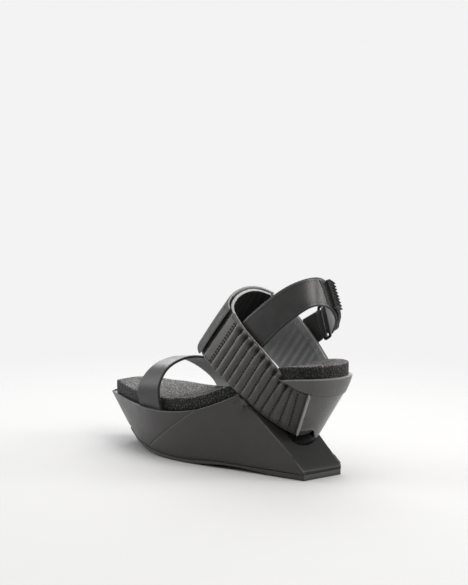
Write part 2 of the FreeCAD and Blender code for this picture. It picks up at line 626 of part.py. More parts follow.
# ---- assembly -----------------------------------------------------------------------------------------
GIVES_WAY = {                       # each piece, and the pieces whose space is cut out of it
    "heel_core": ("heel_screw", "heel_nails", "heel_base_screws"),
    "heel_cup": ("heel_screw", "heel_nails", "shank_rivets"),
    "insole_board": ("heel_screw",),
    "wedge_core": ("heel_base_screws",),
    "wedge_slope_panel": ("heel_base_screws",),
    "outsole": ("heel_base_screws",),
    "outer_band_lining": ("footbed_cover", "footbed_foam", "insole_board", "heel_core", "outer_band_end_panel"),
    "outer_band_padding": ("footbed_cover", "insole_board", "heel_core"),
    "outer_band_quilt": ("heel_cover", "heel_edge_strips"),
    "inner_band_lining": ("footbed_cover", "insole_board", "heel_core", "wedge_core", "wedge_inner_panel",
                          "wedge_slope_panel"),
    "inner_band_padding": ("footbed_cover", "insole_board", "heel_core", "wedge_inner_panel"),
    "inner_band_quilt": ("heel_cover", "heel_edge_strips", "wedge_inner_panel", "wedge_slope_panel"),
    "toe_strap_lining": ("footbed_cover",),
    "instep_hook_patch": ("instep_flap",),
}


def largest(shape):
    """Biggest solid of a shape, without the crumbs that a cut leaves."""
    return max(shape.Solids, key=lambda solid: solid.Volume)


def settle(parts):
    """Cut the overlaps out of the softer piece of each pair."""
    for host, guests in GIVES_WAY.items():
        for guest in guests:
            parts[host] = carve(parts[host], parts[guest])
        parts[host] = largest(parts[host])


def build():
    parts = {}
    toe = toe_strap_pieces()
    slots = list(toe.values())
    outer_hull, inner_hull = hull(), hull(PANEL)
    parts.update(wedge_pieces(outer_hull, inner_hull, slots))
    parts["outsole"] = outer_hull.common(outsole_block())
    parts.update(footbed_pieces())
    seam = above_seat_seam()
    parts["heel_core"] = heel_core_block().common(above_slope()).cut(seam).common(under_footbed())
    parts["heel_cup"] = seat_cone().common(seam).common(under_footbed())
    parts["heel_cover"] = heel_cover_piece(seam)
    parts["heel_edge_strips"] = Part.makeCompound([edge_strip(1), edge_strip(-1)])
    parts.update(toe)
    parts.update(band_layers("outer_band", flipped(outer_band_edges()), [seam]))
    parts.update(band_layers("inner_band", inner_band_edges(), [seam]))
    parts.update(instep_pieces())
    parts.update(ankle_pieces())
    parts["strap_ring"] = ring_piece()
    parts["ring_holder"] = holder_piece()
    parts.update(tab_pieces())
    parts.update(heel_fasteners())
    settle(parts)
    return parts


def main():
    os.makedirs("parts", exist_ok=True)
    parts = build()
    box = FreeCAD.BoundBox()
    for name, shape in parts.items():
        placed = shape.copy()
        placed.translate(ORIGIN * -1)
        box.add(placed.BoundBox)
        print(f"{name}: solids {len(placed.Solids)}, valid {placed.isValid()}, {placed.Volume:.0f} mm3")
        placed.exportStep(f"parts/{name}.step")
    print("box", box)


main()
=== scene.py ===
import math

import bmesh
import bpy
import numpy as np
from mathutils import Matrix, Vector


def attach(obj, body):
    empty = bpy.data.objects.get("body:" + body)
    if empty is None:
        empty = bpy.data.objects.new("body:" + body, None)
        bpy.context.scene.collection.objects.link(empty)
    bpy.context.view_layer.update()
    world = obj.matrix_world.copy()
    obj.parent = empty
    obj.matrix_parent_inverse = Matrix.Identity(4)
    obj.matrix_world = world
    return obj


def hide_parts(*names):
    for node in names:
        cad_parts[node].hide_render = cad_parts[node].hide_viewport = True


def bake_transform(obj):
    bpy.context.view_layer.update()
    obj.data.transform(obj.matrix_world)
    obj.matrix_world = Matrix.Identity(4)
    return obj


# Left wedge sandal. Outlines are in the CAD source's own "last" coordinates, in millimetres: x to the toe
# from the heel plate's rear edge, y to the outer side, z up. place() turns them into the frame's metres.

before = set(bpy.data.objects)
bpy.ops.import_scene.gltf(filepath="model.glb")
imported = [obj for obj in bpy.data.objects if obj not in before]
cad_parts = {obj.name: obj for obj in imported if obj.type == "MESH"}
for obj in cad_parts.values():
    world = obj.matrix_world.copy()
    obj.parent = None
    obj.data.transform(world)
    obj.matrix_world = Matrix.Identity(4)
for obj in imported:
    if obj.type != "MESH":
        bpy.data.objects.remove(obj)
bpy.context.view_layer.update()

MM = 0.001
ORIGIN = np.array((107.76, -5.67, 0.0))
CAMERA_AT = (-0.7124, 0.8989, 0.2488)
CAMERA_TURN = (84.43, 0.0, 217.8)
CAMERA_LENS = 86.15
SENSOR_WIDTH = 36.0
BACKDROP = 0.896                    # level of the backdrop that the camera sees
ROOM_FRONT = (-0.62, 0.784, 0.0)    # from the object towards the camera
ROOM_BRIGHT = 1.0                   # room's level behind the object
ROOM_DIM = 0.3                      # and in front of it
FLOOR_TONE = 0.485
FLOOR_FADE = 0.12                   # the floor starts to fade here, and ends at FLOOR_REACH
FLOOR_REACH = 0.7
FLOOR_SIDES = 64


def place(points):
    return (np.asarray(points, float) - ORIGIN) * MM


# ---- camera, floor and light --------------------------------------------------------------------------
def make_camera():
    camera = bpy.data.objects.new("camera", bpy.data.cameras.new("camera"))
    bpy.context.scene.collection.objects.link(camera)
    camera.location = CAMERA_AT
    camera.rotation_euler = [math.radians(a) for a in CAMERA_TURN]
    camera.data.lens = CAMERA_LENS
    camera.data.sensor_width = SENSOR_WIDTH
    camera.data.clip_start = 0.05
    camera.data.clip_end = 50.0
    bpy.context.scene.camera = camera


def soft_light(name, at, target, size, power, tint=(1.0, 1.0, 1.0)):
    data = bpy.data.lights.new(name, "AREA")
    data.shape = "RECTANGLE"
    data.size, data.size_y = size
    data.energy = power
    data.color = tint
    light = bpy.data.objects.new(name, data)
    bpy.context.scene.collection.objects.link(light)
    light.location = at
    light.rotation_euler = (Vector(target) - Vector(at)).to_track_quat("-Z", "Y").to_euler()


def make_world():
    """White backdrop for the camera; for the object, a room that is bright behind it and dim in front."""
    world = bpy.data.worlds.new("studio")
    bpy.context.scene.world = world
    world.use_nodes = True
    nodes, links = world.node_tree.nodes, world.node_tree.links
    backdrop = nodes["Background"]
    backdrop.inputs["Color"].default_value = (1.0, 1.0, 1.0, 1.0)
    backdrop.inputs["Strength"].default_value = BACKDROP
    room = nodes.new("ShaderNodeBackground")
    direction = nodes.new("ShaderNodeTexCoord").outputs["Generated"]
    facing = nodes.new("ShaderNodeVectorMath")
    facing.operation = "DOT_PRODUCT"
    facing.inputs[1].default_value = ROOM_FRONT
    links.new(direction, facing.inputs[0])
    share = nodes.new("ShaderNodeMapRange")
    share.inputs["From Min"].default_value = -0.9
    share.inputs["From Max"].default_value = 0.7
    share.inputs["To Min"].default_value = ROOM_BRIGHT
    share.inputs["To Max"].default_value = ROOM_DIM
    links.new(facing.outputs["Value"], share.inputs["Value"])
    links.new(share.outputs["Result"], room.inputs["Strength"])
    seen = nodes.new("ShaderNodeLightPath").outputs["Is Camera Ray"]
    mix = nodes.new("ShaderNodeMixShader")
    links.new(seen, mix.inputs[0])
    links.new(room.outputs[0], mix.inputs[1])
    links.new(backdrop.outputs[0], mix.inputs[2])
    links.new(mix.outputs[0], nodes["World Output"].inputs["Surface"])


def make_floor():
    """Pale floor that fades out into the backdrop away from the object."""
    mesh = bpy.data.meshes.new("floor")
    turns = np.linspace(0, 2 * np.pi, FLOOR_SIDES, endpoint=False)
    rim = [(FLOOR_REACH * math.cos(turn), FLOOR_REACH * math.sin(turn), 0.0) for turn in turns]
    mesh.from_pydata(rim, [], [tuple(range(FLOOR_SIDES))])
    floor = bpy.data.objects.new("floor", mesh)
    bpy.context.scene.collection.objects.link(floor)
    material = bpy.data.materials.new("floor")
    material.use_nodes = True
    nodes, links = material.node_tree.nodes, material.node_tree.links
    shader = nodes["Principled BSDF"]
    shader.inputs["Base Color"].default_value = (FLOOR_TONE, FLOOR_TONE, FLOOR_TONE, 1.0)
    shader.inputs["Roughness"].default_value = 0.9
    shader.inputs["Specular IOR Level"].default_value = 0.0
    span = nodes.new("ShaderNodeVectorMath")
    span.operation = "LENGTH"
    links.new(nodes.new("ShaderNodeTexCoord").outputs["Object"], span.inputs[0])
    fade = nodes.new("ShaderNodeMapRange")
    fade.interpolation_type = "SMOOTHSTEP"
    fade.inputs["From Min"].default_value = FLOOR_FADE
    fade.inputs["From Max"].default_value = FLOOR_REACH * 0.95
    links.new(span.outputs["Value"], fade.inputs["Value"])
    mix = nodes.new("ShaderNodeMixShader")
    links.new(fade.outputs["Result"], mix.inputs[0])
    links.new(shader.outputs[0], mix.inputs[1])
    links.new(nodes.new("ShaderNodeBsdfTransparent").outputs[0], mix.inputs[2])
    links.new(mix.outputs[0], nodes["Material Output"].inputs["Surface"])
    mesh.materials.append(material)


def make_studio():
    bpy.context.scene.view_settings.view_transform = "Standard"
    make_world()
    make_floor()
    soft_light("top_softbox", (0.1, -0.1, 1.3), (0.0, 0.0, 0.05), (0.9, 0.9), 9.0)
    soft_light("back_softbox", (0.75, -0.95, 0.85), (0.0, 0.0, 0.08), (1.3, 0.6), 16.0)
    soft_light("toe_softbox", (1.1, 0.5, 0.55), (0.08, 0.0, 0.03), (0.6, 0.6), 7.5)
    soft_light("heel_softbox", (-1.0, -0.65, 0.5), (-0.08, 0.0, 0.08), (0.5, 0.7), 8.0)
    soft_light("strap_softbox", (-0.95, 0.15, 1.0), (-0.1, 0.0, 0.14), (0.7, 0.7), 10.0,
               (1.0, 0.97, 0.93))


# ---- curves -------------------------------------------------------------------------------------------
def unit(vectors):
    vectors = np.asarray(vectors, float)
    return vectors / np.maximum(np.linalg.norm(vectors, axis=-1, keepdims=True), 1e-9)


def chords(points):
    steps = np.linalg.norm(np.diff(points, axis=0), axis=1)
    return np.concatenate(([0.0], np.cumsum(steps)))


def cubic(knots, values, at):
    """Natural cubic through the values at the knots."""
    knots = np.asarray(knots, float)
    values = np.asarray(values, float).reshape(len(knots), -1)
    at = np.asarray(at, float)
    gaps = np.diff(knots)
    count = len(knots)
    matrix = np.eye(count)
    right = np.zeros_like(values)
    for i in range(1, count - 1):
        matrix[i, i - 1:i + 2] = (gaps[i - 1], 2 * (gaps[i - 1] + gaps[i]), gaps[i])
        right[i] = 6 * ((values[i + 1] - values[i]) / gaps[i] - (values[i] - values[i - 1]) / gaps[i - 1])
    bend = np.linalg.solve(matrix, right)
    k = np.clip(np.searchsorted(knots, at, side="right") - 1, 0, count - 2)
    h = gaps[k][:, None]
    a = (knots[k + 1] - at)[:, None]
    b = (at - knots[k])[:, None]
    return (bend[k] * a ** 3 + bend[k + 1] * b ** 3) / (6 * h) \
        + (values[k] / h - bend[k] * h / 6) * a + (values[k + 1] / h - bend[k + 1] * h / 6) * b


def graph(pairs):
    """Function y(x) through (x, y) pairs, level beyond both ends."""
    ordered = sorted(pairs)
    xs = np.array([p[0] for p in ordered], float)
    ys = np.array([p[1] for p in ordered], float)

    def value(x):
        x = np.asarray(x, float)
        return cubic(xs, ys, np.clip(x, xs[0], xs[-1]).ravel())[:, 0].reshape(x.shape)

    return value


def smooth_line(points, count):
    points = np.asarray(points, float)
    knots = chords(points)
    return cubic(knots, points, np.linspace(0, knots[-1], count))


def evenly(points, spacing, closed=False):
    """Points at an even spacing along a polyline."""
    points = np.asarray(points, float)
    if closed:
        points = np.vstack([points, points[:1]])
    knots = chords(points)
    count = max(int(round(knots[-1] / spacing)), 2)
    at = np.linspace(0, knots[-1], count + 1)
    found = np.stack([np.interp(at, knots, points[:, k]) for k in range(points.shape[1])], axis=1)
    return found[:-1] if closed else found


# ---- meshes -------------------------------------------------------------------------------------------
def add_piece(name, points, faces, materials, slots=None, body="shoe", wear_and_lit_top=None, run=None, sharp=55.0,
              crease=None):
    """Mesh object from points in millimetres, with the attributes that its materials read."""
    mesh = bpy.data.meshes.new(name)
    mesh.from_pydata([tuple(p) for p in place(points)], [], [tuple(int(i) for i in f) for f in faces])
    for material in materials:
        mesh.materials.append(material)
    if slots is not None:
        mesh.polygons.foreach_set("material_index", np.asarray(slots, np.int32))
    for key, values in (("wear_and_lit_top", wear_and_lit_top), ("crease", crease)):
        if values is not None:
            layer = mesh.attributes.new(key, "FLOAT", "POINT")
            layer.data.foreach_set("value", np.asarray(values, np.float32))
    if run is not None:
        flat = np.asarray(run, np.float32).ravel()
        mesh.attributes.new("run", "FLOAT_VECTOR", "POINT").data.foreach_set("vector", flat)
    work = bmesh.new()
    work.from_mesh(mesh)
    bmesh.ops.remove_doubles(work, verts=work.verts, dist=1e-7)
    bmesh.ops.recalc_face_normals(work, faces=work.faces)
    work.to_mesh(mesh)
    work.free()
    mesh.shade_smooth()
    mesh.set_sharp_from_angle(angle=math.radians(sharp))
    piece = bpy.data.objects.new(name, mesh)
    bpy.context.scene.collection.objects.link(piece)
    if body:
        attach(piece, body)
    return piece


def grid_faces(rows, columns, wrap_rows=False, wrap_columns=False, start=0):
    faces = []
    for i in range(rows if wrap_rows else rows - 1):
        for j in range(columns if wrap_columns else columns - 1):
            i2, j2 = (i + 1) % rows, (j + 1) % columns
            faces.append((start + i * columns + j, start + i * columns + j2,
                          start + i2 * columns + j2, start + i2 * columns + j))
    return faces


def thick_grid(name, front, back, materials, body="shoe", wear_and_lit_top=None, run=None, sharp=55.0, crease=None):
    """Closed sheet between two grids: material 0 in front, 1 on cut edges, and 2 behind, or 0 without it."""
    rows, columns = front.shape[:2]
    total = rows * columns
    faces = grid_faces(rows, columns)
    slots = [0] * len(faces)
    rim = [(0, j) for j in range(columns)] + [(i, columns - 1) for i in range(1, rows)]
    rim += [(rows - 1, j) for j in range(columns - 2, -1, -1)] + [(i, 0) for i in range(rows - 2, 0, -1)]
    for (i, j), (i2, j2) in zip(rim, rim[1:] + rim[:1]):
        a, b = i * columns + j, i2 * columns + j2
        faces.append((a, b, total + b, total + a))
        slots.append(min(1, len(materials) - 1))
    back_faces = grid_faces(rows, columns, start=total)
    faces += back_faces
    slots += [2 if len(materials) > 2 else 0] * len(back_faces)
    points = np.vstack([front.reshape(-1, 3), back.reshape(-1, 3)])
    if wear_and_lit_top is not None:
        wear_and_lit_top = np.concatenate([wear_and_lit_top.ravel(), wear_and_lit_top.ravel()])
    if crease is not None:
        crease = np.concatenate([crease.ravel(), crease.ravel()])
    if run is not None:
        run = np.vstack([run.reshape(-1, 3), run.reshape(-1, 3)])
    return add_piece(name, points, faces, materials, slots, body, wear_and_lit_top, run, sharp, crease)


def tube(name, path, radius, materials, body="shoe", closed=False, sides=14, flat=1.0, aim=None, pinch=None):
    """Round or flattened tube along a path; aim is the direction of its flat side."""
    path = np.asarray(path, float)
    ahead = np.roll(path, -1, axis=0) if closed else np.vstack([path[1:], 2 * path[-1] - path[-2]])
    behind = np.roll(path, 1, axis=0) if closed else np.vstack([2 * path[0] - path[1], path[:-1]])
    along = unit(ahead - behind)
    guide = np.array((0.0, 0.0, 1.0)) if aim is None else np.asarray(aim, float)
    side = unit(np.cross(along, guide))
    up = np.cross(side, along)
    radii = np.full(len(path), radius) if pinch is None else radius * pinch
    turns = np.linspace(0, 2 * np.pi, sides, endpoint=False)
    rings = path[:, None] + radii[:, None, None] * (np.cos(turns)[None, :, None] * side[:, None]
                                                    + flat * np.sin(turns)[None, :, None] * up[:, None])
    faces = grid_faces(len(path), sides, wrap_rows=closed, wrap_columns=True)
    points = rings.reshape(-1, 3)
    if not closed:
        faces.append(tuple(range(sides))[::-1])
        faces.append(tuple(range(len(points) - sides, len(points))))
    return add_piece(name, points, faces, materials, body=body)


STITCH_STATIONS = (-1.0, -0.72, 0.0, 0.72, 1.0)     # along half a stitch's length
STITCH_GIRTH = (0.25, 0.8, 1.0, 0.8, 0.25)          # share of the thread's radius at each
THREAD_SIDES = 6


def sew(name, rows, pitch, length, radius, material, body="shoe", lift=0.2):
    """One piece of thread: arched stitches along each row, a row being its points and their normals."""
    points, faces = [], []
    turns = np.linspace(0, 2 * np.pi, THREAD_SIDES, endpoint=False)
    for line, normals in rows:
        knots = chords(line)
        count = int((knots[-1] - length) / pitch)
        for at in (knots[-1] - count * pitch) / 2 + pitch * np.arange(count + 1):
            centre = np.array([np.interp(at, knots, line[:, k]) for k in range(3)])
            ahead = np.array([np.interp(at + 0.4, knots, line[:, k]) for k in range(3)])
            behind = np.array([np.interp(at - 0.4, knots, line[:, k]) for k in range(3)])
            normal = unit(np.array([np.interp(at, knots, normals[:, k]) for k in range(3)]))
            along = unit(ahead - behind)
            side = np.cross(normal, along)
            base = len(points)
            for t, g in zip(STITCH_STATIONS, STITCH_GIRTH):
                middle = centre + along * t * length / 2 + normal * (lift - 0.45 * radius * t * t)
                for turn in turns:
                    points.append(middle + radius * g * (math.cos(turn) * side + math.sin(turn) * normal))
            faces += grid_faces(len(STITCH_STATIONS), THREAD_SIDES, wrap_columns=True, start=base)
            faces.append(tuple(range(base, base + THREAD_SIDES))[::-1])
            faces.append(tuple(range(len(points) - THREAD_SIDES, len(points))))
    return add_piece(name, np.array(points), faces, [material], body=body)


class Strip:
    """Smooth strip of leather between two edge lines, given as rows of matching points."""

    def __init__(self, upper, lower, trim=0.0):
        upper, lower = np.asarray(upper, float), np.asarray(lower, float)
        both = smooth_line(np.hstack([upper, lower]), 500)
        width = unit(both[:, :3] - both[:, 3:])
        self.upper = both[:, :3] - width * trim
        self.lower = both[:, 3:] + width * trim
        middle = (self.upper + self.lower) / 2
        run = np.gradient(middle, axis=0)
        self.normal = unit(np.cross(run, self.upper - self.lower))
        self.along = chords(middle)
        self.length = self.along[-1]

    def pick(self, table, s):
        return np.stack([np.interp(s, self.along, table[:, k]) for k in range(3)], axis=-1)

    def point(self, s, share, height):
        """Point at a run length s, at a share of the width up from the lower edge, and at a height."""
        up, low, normal = (self.pick(t, s) for t in (self.upper, self.lower, self.normal))
        share = np.asarray(share, float)[..., None]
        return low + (up - low) * share + unit(normal) * np.asarray(height, float)[..., None]

    def width(self, s):
        return np.linalg.norm(self.pick(self.upper, s) - self.pick(self.lower, s), axis=-1)

    def row(self, inset, height, begin=0.0, end=None, from_upper=True):
        """Line along the strip at a distance in from one edge, with its normals."""
        s = np.linspace(begin, self.length if end is None else end, 160)
        share = inset / self.width(s)
        share = 1 - share if from_upper else share
        return self.point(s, share, np.full_like(s, height)), self.pick(self.normal, s)

    def cross_row(self, s, height, begin=0.06, end=0.94):
        """Line across the strip, with its normals."""
        share = np.linspace(begin, end, 40)
        at = np.full_like(share, s)
        return self.point(at, share, np.broadcast_to(height, share.shape)), self.pick(self.normal, at)


def edge_insets(width_mm, rounding, inner):
    near = rounding * np.array((0.0, 0.12, 0.35, 0.7, 1.0))
    middle = np.linspace(near[-1], width_mm - near[-1], inner + 2)[1:-1]
    return np.concatenate([near, middle, width_mm - near[::-1]])


def strip_piece(name, strip, inside, outside, materials, body, step=2.0, inner=14, rounding=0.7,
                bluntness=0.6, front_lift=None, back_lift=None, begin=0.0, crown=0.0, shade=None):
    """Closed leather strip with rounded edges; lifts take (s, mm up from the lower edge, width)."""
    end = strip.length
    s = np.linspace(begin, end, max(int((end - begin) / step), 4) + 1)
    widths = strip.width(s)
    mean_width = float(np.mean(widths))
    insets = edge_insets(mean_width, rounding, inner) / mean_width
    grid_s = np.repeat(s[:, None], len(insets), axis=1)
    share = np.repeat(insets[None, :], len(s), axis=0)
    width = np.repeat(widths[:, None], len(insets), axis=1)
    v = share * width
    distance = np.minimum(v, width - v)
    fall = np.clip(1 - distance / rounding, 0, 1)
    fullness = bluntness + (1 - bluntness) * np.sqrt(np.clip(1 - fall ** 2, 0, 1))
    bulge = crown * (1 - (2 * share - 1) ** 2)
    middle, half = (inside + outside) / 2 + bulge, (outside - inside) / 2
    front, back = middle + half * fullness, middle - half * fullness
    if front_lift is not None:
        front = front + front_lift(grid_s, v, width)
    if back_lift is not None:
        back = back - back_lift(grid_s, v, width)
    ends = np.minimum(grid_s - begin, end - grid_s)
    wear_and_lit_top = np.exp(-np.minimum(distance, ends + 0.4) / 0.7)
    run = np.stack([grid_s * MM, v * MM, np.zeros_like(v)], axis=-1)
    # crease carries the mask of painted shade in valleys and pits
    crease = None if shade is None else shade(grid_s, v, width)
    return thick_grid(name, strip.point(grid_s, share, front), strip.point(grid_s, share, back), materials,
                      body, wear_and_lit_top, run, crease=crease)


# ---- materials ----------------------------------------------------------------------------------------
class Nodes:
    """Small helper that adds nodes and joins them up."""

    def __init__(self, name):
        self.material = bpy.data.materials.new(name)
        self.material.use_nodes = True
        self.tree = self.material.node_tree
        self.shader = self.tree.nodes["Principled BSDF"]
        self.coordinates = self.add("ShaderNodeTexCoord").outputs["Object"]

    def add(self, kind, links=None):
        node = self.tree.nodes.new(kind)
        for key, source in (links or {}).items():
            self.tree.links.new(source, node.inputs[key])
        return node

    def noise(self, scale, detail=3.0, roughness=0.55):
        node = self.add("ShaderNodeTexNoise", {"Vector": self.coordinates})
        node.inputs["Scale"].default_value = scale
        node.inputs["Detail"].default_value = detail
        node.inputs["Roughness"].default_value = roughness
        return node.outputs["Fac"]

    def pebbles(self, scale, feature="DISTANCE_TO_EDGE"):
        node = self.add("ShaderNodeTexVoronoi", {"Vector": self.coordinates})
        node.feature = feature
        node.inputs["Scale"].default_value = scale
        return node.outputs["Distance"]

    def spread(self, source, low, high, to_low=0.0, to_high=1.0):
        node = self.add("ShaderNodeMapRange", {"Value": source})
        node.inputs["From Min"].default_value = low
        node.inputs["From Max"].default_value = high
        node.inputs["To Min"].default_value = to_low
        node.inputs["To Max"].default_value = to_high
        return node.outputs["Result"]

    def sum(self, a, b, share):
        """a plus a share of b."""
        node = self.add("ShaderNodeMath")
        node.operation = "MULTIPLY_ADD"
        self.tree.links.new(b, node.inputs[0])
        node.inputs[1].default_value = share
        self.tree.links.new(a, node.inputs[2])
        return node.outputs[0]

    def blend(self, share, first, second):
        """Colour between two others, each a colour or a socket."""
        node = self.add("ShaderNodeMix")
        node.data_type = "RGBA"
        self.tree.links.new(share, node.inputs["Factor"])
        for key, value in (("A", first), ("B", second)):
            socket = [s for s in node.inputs if s.name == key and s.type == "RGBA"][0]
            if isinstance(value, tuple):
                socket.default_value = (*value, 1.0)
            else:
                self.tree.links.new(value, socket)
        return [s for s in node.outputs if s.type == "RGBA"][0]

    def attribute(self, name, output="Fac"):
        node = self.add("ShaderNodeAttribute")
        node.attribute_name = name
        return node.outputs[output]

    def waves(self, axis, scale, source):
        node = self.add("ShaderNodeTexWave", {"Vector": source})
        node.bands_direction = axis
        node.inputs["Scale"].default_value = scale
        return node.outputs["Fac"]

    def bump(self, height, depth_mm):
        node = self.add("ShaderNodeBump", {"Height": height})
        node.inputs["Distance"].default_value = depth_mm * MM
        node.inputs["Strength"].default_value = 1.0
        self.tree.links.new(node.outputs["Normal"], self.shader.inputs["Normal"])

    def set(self, **values):
        for key, value in values.items():
            self.shader.inputs[key.replace("_", " ")].default_value = value

    def join(self, socket, key):
        self.tree.links.new(socket, self.shader.inputs[key])


def grey(tone, warm=0.0):
    return (tone * (1 + warm), tone, tone * (1 - warm * 0.4))


def leather(name, tone, worn, rough, warm=0.02, grain=1500.0, depth=0.05, mottle=0.18, sheen=0.0,
            painted_valley_shade=None, gloss=0.5):
    """Finished leather: creased grain, cloudy tone, a paler worn band along its edges, and painted shade in
    quilt valleys if asked for.
    """
    n = Nodes(name)
    cloud = n.noise(55.0, 4.0)
    fine = n.noise(2600.0, 2.0)
    crease = n.spread(n.pebbles(grain), 0.0, 0.22)
    dull, bright = grey(tone * (1 - mottle), warm), grey(tone * (1 + mottle), warm)
    body = n.blend(n.spread(cloud, 0.3, 0.7), dull, bright)
    creased = n.blend(n.spread(crease, 0.0, 1.0), grey(tone * 0.62, warm), body)
    rubbed_and_shaded = n.blend(n.attribute("wear_and_lit_top"), creased, grey(worn, warm))
    # painted shade: a darker tone where the crease attribute marks a stitched valley or a gathered pit
    if painted_valley_shade is not None:
        rubbed_and_shaded = n.blend(n.attribute("crease"), rubbed_and_shaded, grey(painted_valley_shade, warm))
    n.join(rubbed_and_shaded, "Base Color")
    n.join(n.spread(cloud, 0.25, 0.75, rough - 0.07, rough + 0.07), "Roughness")
    n.bump(n.sum(fine, crease, 0.5), depth)
    n.set(Sheen_Weight=sheen, Specular_IOR_Level=gloss)
    return n.material


def pebbled(name, tone, lit_top_tone, rough, grain, depth, warm=0.01):
    """Coarse printed grain of the footbed: pebbles with dark valleys, and painted light on its upper face,
    where the pebble tops are drawn far paler.
    """
    n = Nodes(name)
    valley = n.spread(n.pebbles(grain), 0.02, 0.3)
    small = n.spread(n.pebbles(grain * 2.3), 0.0, 0.3)
    patch = n.noise(grain * 0.7, 3.0, 0.7)
    tops = n.blend(n.spread(patch, 0.36, 0.64), grey(tone * 0.6, warm), grey(tone * 1.6, warm))
    # painted light: where the attribute marks the footbed's upper face, the pebble tops take a far paler tone
    lit_tops = n.blend(n.spread(patch, 0.4, 0.6), grey(lit_top_tone * 0.45, warm), grey(lit_top_tone * 1.7, warm))
    tops = n.blend(n.attribute("wear_and_lit_top"), tops, lit_tops)
    n.join(n.blend(valley, grey(tone * 0.3, warm), tops), "Base Color")
    n.join(n.spread(valley, 0.0, 1.0, 0.95, rough), "Roughness")
    n.bump(n.sum(valley, small, 0.3), depth)
    n.set(Sheen_Weight=0.1, Sheen_Roughness=0.4, Specular_IOR_Level=0.35)
    return n.material


def suede(name, tone, sheen=0.25, gloss=0.5):
    """Napped lining: short fibres, brushed patches and a soft sheen."""
    n = Nodes(name)
    warm = -0.02
    brushed = n.noise(90.0, 5.0, 0.7)
    fibre = n.noise(2700.0, 4.0, 0.75)
    body = n.blend(n.spread(brushed, 0.3, 0.7), grey(tone * 0.8, warm), grey(tone * 1.2, warm))
    n.join(n.blend(n.spread(fibre, 0.35, 0.65), grey(tone * 0.7, warm), body), "Base Color")
    n.join(n.spread(fibre, 0.3, 0.7, 0.78, 0.95), "Roughness")
    n.bump(fibre, 0.08)
    n.set(Sheen_Weight=sheen, Sheen_Roughness=0.5, Specular_IOR_Level=gloss)
    return n.material


def fibrous(name, noise, span, dark, pale, rough, depth, metallic=0.0):
    """One noise drives tone, roughness and a fine bump, as on cut edges, thread, metal and board."""
    n = Nodes(name)
    fibre = n.noise(*noise)
    n.join(n.blend(n.spread(fibre, *span), dark, pale), "Base Color")
    n.join(n.spread(fibre, 0.3, 0.7, *rough), "Roughness")
    n.bump(fibre, depth)
    n.set(Metallic=metallic)
    return n.material


def cut_edge(name, tone):
    """Raw or painted leather edge."""
    dark, pale = grey(tone * 0.65, 0.02), grey(tone * 1.25, 0.02)
    return fibrous(name, (1800.0, 4.0, 0.7), (0.35, 0.65), dark, pale, (0.55, 0.8), 0.1)


def rubber(name, tone):
    n = Nodes(name)
    stipple = n.noise(1900.0, 3.0)
    dust = n.noise(120.0, 5.0, 0.7)
    body = n.blend(n.spread(dust, 0.45, 0.75), grey(tone, 0.01), grey(tone * 1.5, 0.02))
    n.join(n.blend(n.attribute("wear_and_lit_top"), body, grey(tone * 2.2, 0.02)), "Base Color")
    n.join(n.spread(dust, 0.3, 0.7, 0.6, 0.8), "Roughness")
    ribs = n.waves("Z", 330.0, n.coordinates)
    n.bump(n.sum(stipple, ribs, 0.8), 0.12)
    return n.material


def gloss(name, tone):
    """Lacquered heel block: deep gloss with faint orange peel and fine scuffs."""
    n = Nodes(name)
    peel = n.noise(260.0, 2.0)
    scuff = n.noise(900.0, 6.0, 0.75)
    n.join(n.blend(n.spread(scuff, 0.55, 0.8), grey(tone), grey(tone * 2.2)), "Base Color")
    n.join(n.spread(scuff, 0.45, 0.75, 0.14, 0.28), "Roughness")
    n.bump(peel, 0.05)
    n.set(Coat_Weight=0.03, Coat_Roughness=0.08, Specular_IOR_Level=0.1)
    return n.material


def thread(name, tone):
    """Twisted sewing thread."""
    dark, pale = grey(tone * 0.5), grey(tone * 1.4)
    return fibrous(name, (5200.0, 2.0), (0.35, 0.65), dark, pale, (0.5, 0.7), 0.05)


def pile(name, tone, scale, ribs=0.0):
    """Loop or hook tape: a woven ground with loops standing on it, and ribs along the run if asked for."""
    n = Nodes(name)
    loops = n.pebbles(scale, "F1")
    run = n.attribute("run", "Vector")
    weave = n.waves("Y", 260.0, run)
    rib = n.waves("X", 190.0, run)
    height = n.sum(n.sum(loops, weave, 0.5), rib, ribs)
    n.join(n.blend(n.spread(height, 0.2, 1.2), grey(tone * 0.4), grey(tone * 1.7)), "Base Color")
    n.join(n.spread(loops, 0.0, 0.8, 0.9, 0.6), "Roughness")
    n.bump(height, 0.25)
    return n.material


def metal(name, tone, rough, metallic=1.0):
    dark, pale = grey(tone * 0.8), grey(tone * 1.15)
    spread = (rough - 0.06, rough + 0.1)
    return fibrous(name, (700.0, 5.0, 0.7), (0.3, 0.7), dark, pale, spread, 0.01, metallic)


def fibre_board(name):
    dark, pale = (0.28, 0.2, 0.13), (0.45, 0.35, 0.24)
    return fibrous(name, (600.0, 6.0, 0.8), (0.3, 0.7), dark, pale, (0.8, 0.95), 0.05)


